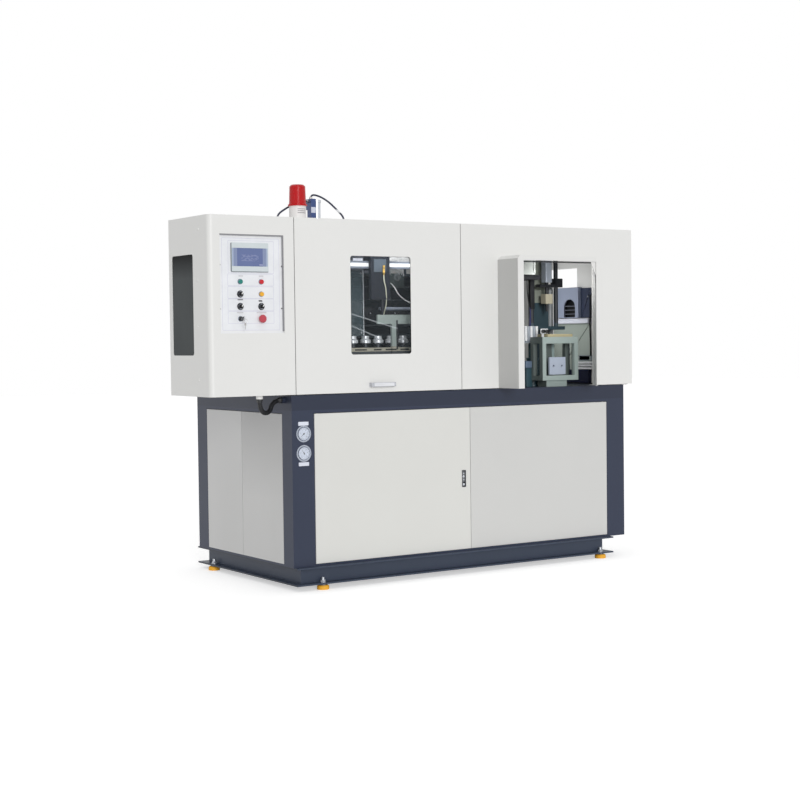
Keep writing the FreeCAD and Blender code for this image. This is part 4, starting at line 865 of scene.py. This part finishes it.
# -------- behind the window: ovens
# The heater box is dark oxidised sheet with quartz lamps across its two openings. A black
# shield with a bright rod hangs in front, and a dark junction box stands on top.
oxide = Finish("oven_sheet")
scorch = oxide.noise(7.0, 4.0)
oxide = oxide.set(Base_Color=oxide.tones(scorch, (26, 31, 35), (44, 52, 56)), Metallic=0.2,
    Roughness=scorch * 0.2 + 0.36, Normal=oxide.bump(oxide.noise(220.0), 0.15, 0.0004))
dress("heater_box", oxide)
quartz = moulded("quartz_tube", (66, 70, 74), 0.2, 300.0)
for i, z in enumerate((1.09, 1.15, 1.21, 1.36, 1.43, 1.5, 1.57), 1):
    turned("oven_lamp_%d" % i, (-0.6, -0.15, z), RIGHT, [(4.5, 0), (6, 20), (6, 618), (4.5, 638)],
        16)
    close(quartz)
shield_black = moulded("shield_black", (20, 21, 25), 0.35)
box("oven_shield", (-0.619, -0.222, 1.395), (0.057, -0.219, 1.458), 4, 1, shield_black,
    field=(FRONT, 4, 1))
turned("shield_rod", (-0.235, -0.231, 1.45), RIGHT, [(8, 0), (9.5, 1.5), (9.5, 290.5), (8, 292)],
    24)
close(plated("rod_aluminium", (150, 158, 174), 0.4, (0.1, 1.0, 1.0), 0.3))
again(screw("shield_screw", (-0.595, -0.221, 1.4265), FRONT, 5), (0.16, 0, 0), (0.31, 0, 0),
    (0.47, 0, 0), (0.625, 0, 0))
for name, x in (("left", -0.613), ("right", 0.051)):
    box("shield_arm_" + name, (x - 0.006, -0.2195, 1.402), (x + 0.006, -0.207, 1.45), 2, 1, oxide,
        0.8)
film = Finish("guard_film")
wave = film.noise(6.0, 3.0, (1.0, 1.0, 0.3))
film = film.set(Base_Color=film.tones(wave, (58, 74, 80), (92, 108, 114)),
    Roughness=wave * 0.1 + 0.1, Alpha=wave * 0.2 + 0.45)
box("guard_panel", (-0.52, -0.232, 1.303), (-0.337, -0.229, 1.657), 6, 1, film,
    field=(FRONT, 2.5))
box("guard_edge", (-0.337, -0.2335, 1.303), (-0.331, -0.2275, 1.657), 1.5, 2, drawn)
again(screw("guard_post", (-0.51, -0.232, 1.32), FRONT, 5), (0.16, 0, 0), (0, 0, 0.32),
    (0.16, 0, 0.32))
box("junction_box", (-0.329, -0.1, 1.643), (-0.18, 0.0, 1.745), 6, 2,
    moulded("junction_grey", (76, 80, 88), 0.4), 1.2, (UP, 5, 3))
box("junction_plate", (-0.316, -0.1012, 1.708), (-0.255, -0.0998, 1.73), 2, 1, plate_white,
    field=(FRONT, 2, 0.4))

# -------- behind the window: preform carriage
# A dark blue-grey carriage rides on the beam rail. Its brass air fitting feeds a cream hose
# that hangs down to a gripper arm.
carriage_blue = enamel("carriage_enamel", (30, 34, 43), 0.4, 0.06, shine=0.3)
dress("preform_carriage", carriage_blue)
block("carriage_cover", (-0.333, -0.339, 1.644), (-0.255, -0.3362, 1.712), 3, 1)
choose("EDGE", lambda p, d: abs(d.y) > 0.9 and p.x > -0.26 and p.z > 1.7)
bpy.ops.mesh.bevel(offset=0.012, segments=4, affect="EDGES")
close(enamel("cover_enamel", (82, 92, 102), 0.38, 0.05, shine=0.3),
    "preform_carriage")
brass = plated("brass", (200, 165, 92), 0.28)
turned("air_fitting", (-0.2715, -0.34, 1.681), DOWN, [(5.5, 0), (8.5, 3), (8.5, 16), (5.5, 18),
    (5.5, 30), (8, 32), (8, 43), (4.5, 46), (4.5, 54)], 6)
close(brass, "preform_carriage", edge=0.6)
box("fitting_seat", (-0.2795, -0.342, 1.645), (-0.2635, -0.3355, 1.665), 2, 1, brass,
    0.6, body="preform_carriage")
cream_tube = moulded("cream_tube", (206, 208, 188), 0.35)
hose("carriage_hose", [(-0.2715, -0.34, 1.63), (-0.274, -0.342, 1.6), (-0.26, -0.342, 1.56),
    (-0.249, -0.33, 1.474), (-0.25, -0.3, 1.42), (-0.25, -0.29, 1.392)], 0.0032, cream_tube,
    "preform_carriage")
turned("gripper_arm", (-0.25, -0.29, 1.51), DOWN, [(9, 0), (12, 2), (12, 60), (8, 63), (8, 110),
    (11, 113), (11, 122), (6, 125)], 20)
close(carriage_blue, "preform_carriage")

# -------- behind the window: air panel
# A dark panel with two plated regulator knobs, a loom of white tubes above it, and one
# white tube that swings across to the oven's right post. Foil lags the pipe on top.
dark_panel = enamel("dark_panel", (62, 72, 70), 0.4, 0.08)
box("air_panel", (-0.225, -0.2095, 1.565), (-0.055, -0.2065, 1.644), 6, 1, dark_panel,
    field=(FRONT, 3, 0.8))
for name, x, z in (("left", -0.1765, 1.6015), ("right", -0.102, 1.624)):
    turned("regulator_" + name, (x, -0.2085, z), FRONT, [(20.5, 0), (20.5, 4), (13, 6), (13, 22),
        (11.5, 25), (6, 25), (6, 23)], 24)
    close(moulded("knob_plating_" + name, (120, 126, 128), 0.25))
tube_white = moulded("white_tube", (232, 234, 236), 0.3)
loom = [((-0.09, -0.215, 1.64), (-0.13, -0.245, 1.66), (-0.2, -0.255, 1.656),
    (-0.225, -0.215, 1.62)),
    ((-0.075, -0.215, 1.638), (-0.115, -0.255, 1.676), (-0.185, -0.26, 1.65),
    (-0.205, -0.215, 1.632)),
    ((-0.062, -0.215, 1.63), (-0.09, -0.245, 1.69), (-0.16, -0.26, 1.67), (-0.178, -0.215, 1.625)),
    ((-0.15, -0.215, 1.64), (-0.16, -0.25, 1.672), (-0.195, -0.25, 1.674), (-0.22, -0.215, 1.64))]
for i, points in enumerate(loom, 1):
    hose("loom_tube_%d" % i, points, 0.003, tube_white)
hose("swing_tube", [(-0.145, -0.212, 1.59), (-0.145, -0.25, 1.57), (-0.125, -0.255, 1.525),
    (-0.055, -0.245, 1.485), (0.03, -0.225, 1.47), (0.062, -0.21, 1.47)], 0.0034, tube_white)
foil = Finish("pipe_foil")
crease_and_shade = foil.noise(34.0, 8.0, (1.0, 1.0, 1.6))
# The foil's tone follows its creases, dark to bright: painted shade in the hollows and painted
# glints on the ridges, over the real crumple of the bump.
foil.set(Base_Color=foil.tones(crease_and_shade, (110, 114, 116), (252, 253, 254)), Metallic=0.2,
    Roughness=crease_and_shade * 0.3 + 0.16, Normal=foil.bump(crease_and_shade, 1.0, 0.01))
turned("lagged_pipe", (-0.12, -0.09, 1.724), RIGHT, [(16, 0), (20, 8), (18.5, 40), (21.5, 70),
    (19, 110), (21, 150), (16, 170)], 24)
close(foil.material)
for x in (-0.095, 0.03):
    box("pipe_stand_%d" % abs(x * 1000), (x - 0.006, -0.096, 1.643), (x + 0.006, -0.084, 1.71), 2,
        2, oxide, 0.8)

# -------- behind the hood: blow clamp
# The clamp stands on the deck: green painted plates on ground tie bars, and a moving platen
# with half of an aluminium mould.
clamp_green = enamel("clamp_enamel", (150, 160, 158), 0.4, 0.05)
dress("clamp_frame", clamp_green)
dress("clamp_platen", enamel("platen_enamel", (162, 168, 170), 0.36, 0.05))

# -------- behind the hood: stretch unit
# A painted column carries an aluminium air cylinder. Its rod pushes a black crossbar that
# slides on two blackened bars, with a cream plastic stop block below.
post_paint = Finish("column_enamel")
up = post_paint.along("Z")
lower = up < 1.49
cloud = post_paint.noise(2.0, 3.0)
across, left_rod, right_rod, rod_wide = post_paint.along("X"), 0.873, 1.056, 0.017
rods = (abs(across - left_rod) < rod_wide) + (abs(across - right_rod) < rod_wide)
rods = rods * (post_paint.along("Y") < -0.12) * (up > 1.37)
steel = post_paint.tones(cloud, (26, 28, 32), (44, 47, 52))
paint = post_paint.blend(lower, post_paint.tones(cloud, (122, 128, 118), (134, 139, 129)),
    post_paint.tones(cloud, (44, 60, 68), (54, 72, 80)))
dress("stretch_column", post_paint.set(Base_Color=post_paint.blend(rods, paint, steel),
    Roughness=cloud * 0.15 + 0.33, Normal=post_paint.bump(post_paint.noise(320.0), 0.1, 0.0004)))
dress("stretch_cylinder", plated("cylinder_aluminium", (178, 186, 198), 0.36, (1.0, 1.0, 0.05),
    0.4))
beam_black = Finish("crossbar_paint")
up, across = beam_black.along("Z"), beam_black.along("X")
stop_x = 0.988
stop = (up < 1.5395) * (up > 1.48) * (abs(across - stop_x) < 0.027)
cloud = beam_black.noise(18.0, 4.0)
beam_black.set(Base_Color=beam_black.blend(stop, beam_black.tones(cloud, (22, 23, 27),
    (40, 42, 47)), beam_black.tones(cloud, (160, 154, 134), (180, 174, 154))),
    Roughness=cloud * 0.2 + 0.32, Normal=beam_black.bump(beam_black.noise(400.0), 0.15, 0.0003))
dress("stretch_crossbar", beam_black.material)
turned("crossbar_nut", (right_rod, -0.1575, 1.733), UP, [(11, 0), (11, 8), (6, 8), (6, 16)], 6)
close(beam_black.material, "stretch_crossbar", edge=0.8)

# -------- behind the hood: drive box
# An off-white sheet steel drive box hangs from the top rail over a black tray. A black duct
# and two leads drop from it to the valve island.
drive_white = enamel("drive_enamel", (196, 201, 196), 0.4, 0.03)
box("drive_box", (0.505, -0.396, 1.641), (0.72, -0.225, 1.864), 6, 2, drive_white,
    1.2, (FRONT, 12, 2))
for x in (0.54, 0.685):
    box("drive_strap_%d" % (x * 1e4), (x - 0.012, -0.42, 1.86), (x + 0.012, -0.37, 1.868), 2, 1,
        zinc, 0.8)
box("drive_tray", (0.56, -0.396, 1.613), (0.756, -0.23, 1.6408), 4, 2, shield_black,
    0.8, (DOWN, 6, 4))
box("lead_duct", (0.786, -0.262, 1.448), (0.816, -0.238, 1.64), 3, 2, shield_black,
    0.8, (LEFT, 4, 2))
box("duct_arm", (0.75, -0.26, 1.618), (0.788, -0.24, 1.636), 2, 0, shield_black,
    0.8)
lead_black = moulded("lead_black", (22, 22, 26), 0.5)
lead_navy = moulded("lead_navy", (30, 36, 84), 0.45)
hose("drive_lead_1", [(0.787, -0.25, 1.46), (0.787, -0.25, 1.42), (0.785, -0.252, 1.37),
    (0.785, -0.252, 1.32)], 0.0065, lead_navy)
hose("drive_lead_2", [(0.73, -0.3, 1.616), (0.73, -0.3, 1.56), (0.746, -0.29, 1.5),
    (0.77, -0.27, 1.44), (0.774, -0.26, 1.38), (0.774, -0.256, 1.34)], 0.0028, lead_black)

# -------- behind the hood: valve island and motors
# A silver valve island sits on a green-black motor beside the pusher, with a small blue motor
# in front and two black guide rollers on a white stem.
island_silver = plated("island_silver", (190, 198, 208), 0.34, (1, 1, 0.3), 0.4)
box("valve_island", (0.713, -0.29, 1.253), (0.81, -0.22, 1.33), 3, 1, island_silver,
    0.8, (FRONT, 6, 4))
for i in range(5):
    x = 0.723 + 0.0194 * i
    box("valve_%d" % (i + 1), (x - 0.0075, -0.298, 1.266), (x + 0.0075, -0.285, 1.35), 2, 1,
        island_silver if i % 2 else tube_white, 0.6, (FRONT, 2.5, 1.5))
teal = enamel("motor_enamel", (52, 82, 92), 0.38, 0.08)
turned("island_motor", (0.8, -0.255, 1.003), UP, [(36, 0), (36, 12), (33, 14), (33, 150), (36, 152),
    (36, 164), (24, 166), (24, 245)], 32)
close(teal)
for i in range(7):
    ring("motor_fin_%d" % (i + 1), (0.8, -0.255, 1.035 + 0.0165 * i), UP, 33.5, 1.6, 32)
    close(teal)
blue = enamel("small_motor_enamel", (104, 122, 144), 0.36, 0.06)
box("small_motor", (0.697, -0.325, 1.11), (0.741, -0.275, 1.151), 6, 0, blue, 1)
turned("small_motor_shaft", (0.74, -0.3, 1.13), RIGHT, [(15, 0), (15, 6), (5, 8), (5, 26)], 20)
close(drawn)
block("small_motor_foot", (0.71, -0.315, 1.003), (0.75, -0.285, 1.11), 3, 2)
choose("FACE", lambda p, n: n.z < -0.9)
pull((0, 0, 0))
bpy.ops.transform.resize(value=(1.5, 1.5, 1), center_override=(0.73, -0.3, 1.003))
close(teal, edge=1)
for i, x in enumerate((0.767, 0.794), 1):
    turned("guide_roller_%d" % i, (x, -0.392, 1.3195), FRONT, [(10, 0), (10.8, 2), (9.5, 6),
        (9.5, 10), (10.8, 14), (6, 16), (6, 14)], 24)
    close(shield_black)
box("roller_plate", (0.754, -0.392, 1.306), (0.807, -0.387, 1.334), 6, 1, tube_white,
    0.8)
box("roller_stem", (0.764, -0.391, 1.26), (0.778, -0.383, 1.307), 2, 2, tube_white,
    0.6)

# -------- behind the hood: outlet frame and pusher
# A pale green welded gate frames the outlet. A tan guide plate lies on top, the pusher works
# through it, and a grey panel with a navy cable strip stands behind.
# Painted shade: the gate's parts behind its front face and the outer left face of its post are made
# darker.
gate_green = enamel("gate_enamel", (160, 174, 170), 0.38, 0.05,
    shade_patches=[("Y", -0.3985, -0.3, 0.4), ("X", 0.744, 0.7458, 0.42)])
dress("outlet_frame", gate_green)
dress("push_plate", enamel("pusher_enamel", (178, 187, 203), 0.34, 0.04))
tan = moulded("guide_nylon", (176, 166, 132), 0.5, 400.0)
box("guide_plate", (0.785, -0.4175, 1.287), (0.972, -0.315, 1.303), 10, 2, tan, 0.8,
    (UP, 8, 2))
box("gate_panel", (0.845, -0.306, 1.165), (0.921, -0.303, 1.256), 2, 1,
    enamel("gate_panel_enamel", (170, 190, 188), 0.4), 0.6)
box("cable_strip", (0.996, -0.306, 1.069), (1.037, -0.298, 1.251), 2, 2,
    enamel("strip_enamel", (48, 54, 76), 0.36), 0.6)

# -------- behind the hood: right wall
# A lavender fan housing is bolted to the right skin beside two navy covers. Under them lie
# a silver bar, a pale panel, three white trunking strips and a black conduit.
fan = Finish("fan_enamel")
deep, side_y, up = fan.along("X"), fan.along("Y"), fan.along("Z")
# Painted shade and highlight: the closed louvre is a near-black arch for the shade inside it,
# crossed by a lighter slat band for the slats' lit edges.
shaded_arch = (deep > 1.3405) * (side_y > 0.0046) * (side_y < 0.1124) * (up > 1.4062) * (up < 1.518)
lit_slat = (deep > 1.346) * (deep < 1.348)
cloud = fan.noise(3.0, 3.0)
paint = fan.tones(cloud, (140, 149, 170), (150, 159, 179))
dark = fan.tones(lit_slat, (10, 11, 14), (120, 124, 136))
dress("fan_housing", fan.set(Base_Color=fan.blend(shaded_arch, paint, dark), Roughness=cloud * 0.1 + 0.36,
    Normal=fan.bump(fan.noise(380.0), 0.1, 0.0004)))
wall = 1.371
for name, y0, y1, z0, z1, paint, slot in (("wall_cover_1", -0.123, -0.025, 1.402, 1.583,
        enamel("wall_navy", (54, 62, 84), 0.4), "base_navy"),
        ("wall_cover_2", -0.181, -0.125, 1.401, 1.497, navy, "base_navy"),
        ("wall_panel", -0.107, 0.236, 1.024, 1.367, enamel("wall_green", (160, 170, 162), 0.42),
        "machine_green"),
        ("wall_box", -0.12, -0.003, 1.139, 1.175, enamel("wall_grey", (132, 142, 146), 0.42),
        "machine_green"),
        ("wall_teal", 0.299, 0.456, 1.238, 1.512, teal, "machine_dark")):
    box(name, (wall - 0.012, y0, z0), (wall + 0.0002, y1, z1), 3, 0, paint, 0.8,
        (LEFT, 6, 1.5))
box("wall_duct", (wall - 0.03, -0.115, 1.006), (wall + 0.0002, 0.111, 1.087), 4, 1,
    enamel("duct_enamel", (22, 27, 54), 0.4, shine=0.3), 0.8, (LEFT, 6, 2))
screw("wall_screw", (wall - 0.0105, -0.09, 1.53), LEFT, 6)
box("wall_bar", (wall - 0.032, -0.111, 1.368), (wall + 0.0002, 0.236, 1.398), 4, 1,
    plated("wall_bar_silver", (226, 229, 240), 0.36, (1, 0.1, 1), 0.1), 0.8,
    (LEFT, 4, 3))
again(box("trunking", (wall - 0.028, -0.154, 1.089), (wall + 0.0002, 0.003, 1.101), 2, 1,
    tube_white, 0.6, (LEFT, 1.8, 1)), (0, 0, 0.017), (0, 0, 0.034))
hose("wall_conduit", [(wall - 0.015, -0.1185, 1.54), (wall - 0.015, -0.1185, 1.46),
    (wall - 0.02, -0.1185, 1.36), (wall - 0.015, -0.1185, 1.25), (wall - 0.015, -0.1185, 1.17)],
    0.0055, lead_black)
box("wall_upright", (1.06, -0.097, 1.003), (1.085, -0.07, 1.583), 3, 2,
    enamel("upright_enamel", (192, 196, 200), 0.4), 0.6)
for z in (1.006, 1.3, 1.56):
    screw("upright_screw_%d" % (z * 1000), (1.0725, -0.097, z + 0.012), FRONT, 4.5)

# -------- floor and light
# The machine stands on white studio paper in broad soft light. The key comes low from the
# left of the front, and small unseen strips light what is inside the hood and the window.
bpy.ops.object.select_all(action="DESELECT")
bpy.ops.mesh.primitive_plane_add(size=60.0, location=(0, 0, 0))
floor = bpy.context.object
floor.name = "studio_floor"
paper = Finish("studio_paper")
paper.set(Base_Color=(0.86, 0.86, 0.86), Roughness=0.9)
seen = [paper.node("ShaderNodeLightPath", {}, {}, "Is %s Ray" % kind)
    for kind in ("Camera", "Glossy", "Transmission")]
shown = seen[0].sum("MAXIMUM", seen[0].sum("MAXIMUM", seen[0], seen[1]), seen[2])
glow = paper.node("ShaderNodeEmission", {}, {"Color": (1, 1, 1), "Strength": shown * 0.49},
    "Emission")
both = paper.node("ShaderNodeAddShader", {}, {0: glow, 1: Wire(paper, paper.shader.outputs[0])},
    "Shader")
paper.tree.links.new(both.socket, paper.out.inputs["Surface"])
floor.data.materials.append(paper.material)

world = bpy.data.worlds.new("studio_world")
bpy.context.scene.world = world
world.use_nodes = True
tree = world.node_tree
tree.nodes.clear()
rays = tree.nodes.new("ShaderNodeLightPath")
clear = [tree.nodes.new("ShaderNodeMath") for _ in range(2)]
for math_node, other in zip(clear, ("Is Glossy Ray", "Is Transmission Ray")):
    math_node.operation = "MAXIMUM"
    tree.links.new(rays.outputs[other], math_node.inputs[1])
tree.links.new(rays.outputs["Is Camera Ray"], clear[0].inputs[0])
tree.links.new(clear[0].outputs[0], clear[1].inputs[0])
mixer = tree.nodes.new("ShaderNodeMixShader")
tree.links.new(clear[1].outputs[0], mixer.inputs[0])
for i, strength in ((1, 0.576), (2, 1.0)):
    room = tree.nodes.new("ShaderNodeBackground")
    room.inputs["Color"].default_value = (1.0, 1.0, 1.0, 1.0)
    room.inputs["Strength"].default_value = strength
    tree.links.new(room.outputs[0], mixer.inputs[i])
surface = tree.nodes.new("ShaderNodeOutputWorld")
tree.links.new(mixer.outputs[0], surface.inputs["Surface"])

key = bpy.data.lights.new("key_light", "SUN")
key.energy, key.angle = 1.25, math.radians(20)
key_light = bpy.data.objects.new("key_light", key)
key_light.rotation_euler = Vector((-0.3, -0.93, 0.2)).to_track_quat("Z", "Y").to_euler()
bpy.context.scene.collection.objects.link(key_light)
for name, place, aim, wide, deep, power in (("hood_light", (0.84, -0.55, 1.64), (0.15, 0.9, -0.45),
        0.2, 0.05, 1.0),
        ("wall_light", (1.11, 0.08, 1.44), (1.0, 0.0, 0.0), 0.35, 0.54, 0.9),
        ("foil_light", (-0.03, -0.36, 1.79), (0.0, 0.95, -0.2), 0.25, 0.03, 0.9),
        ("window_light", (-0.37, -0.42, 1.8), (0.0, 0.5, -0.85), 0.7, 0.04, 1.2)):
    strip = bpy.data.lights.new(name, "AREA")
    strip.shape, strip.size, strip.size_y, strip.energy = "RECTANGLE", wide, deep, power
    strip_light = bpy.data.objects.new(name, strip)
    back = -Vector(aim).normalized()
    length_way = Vector((0, 0, 1)).cross(back).normalized()
    strip_light.matrix_world = Matrix((length_way, back.cross(length_way),
        back)).transposed().to_4x4()
    strip_light.location = place
    for rays in ("camera", "glossy", "transmission"):
        setattr(strip_light, "visible_" + rays, False)
    bpy.context.scene.collection.objects.link(strip_light)
bpy.context.scene.view_settings.view_transform = "Standard"
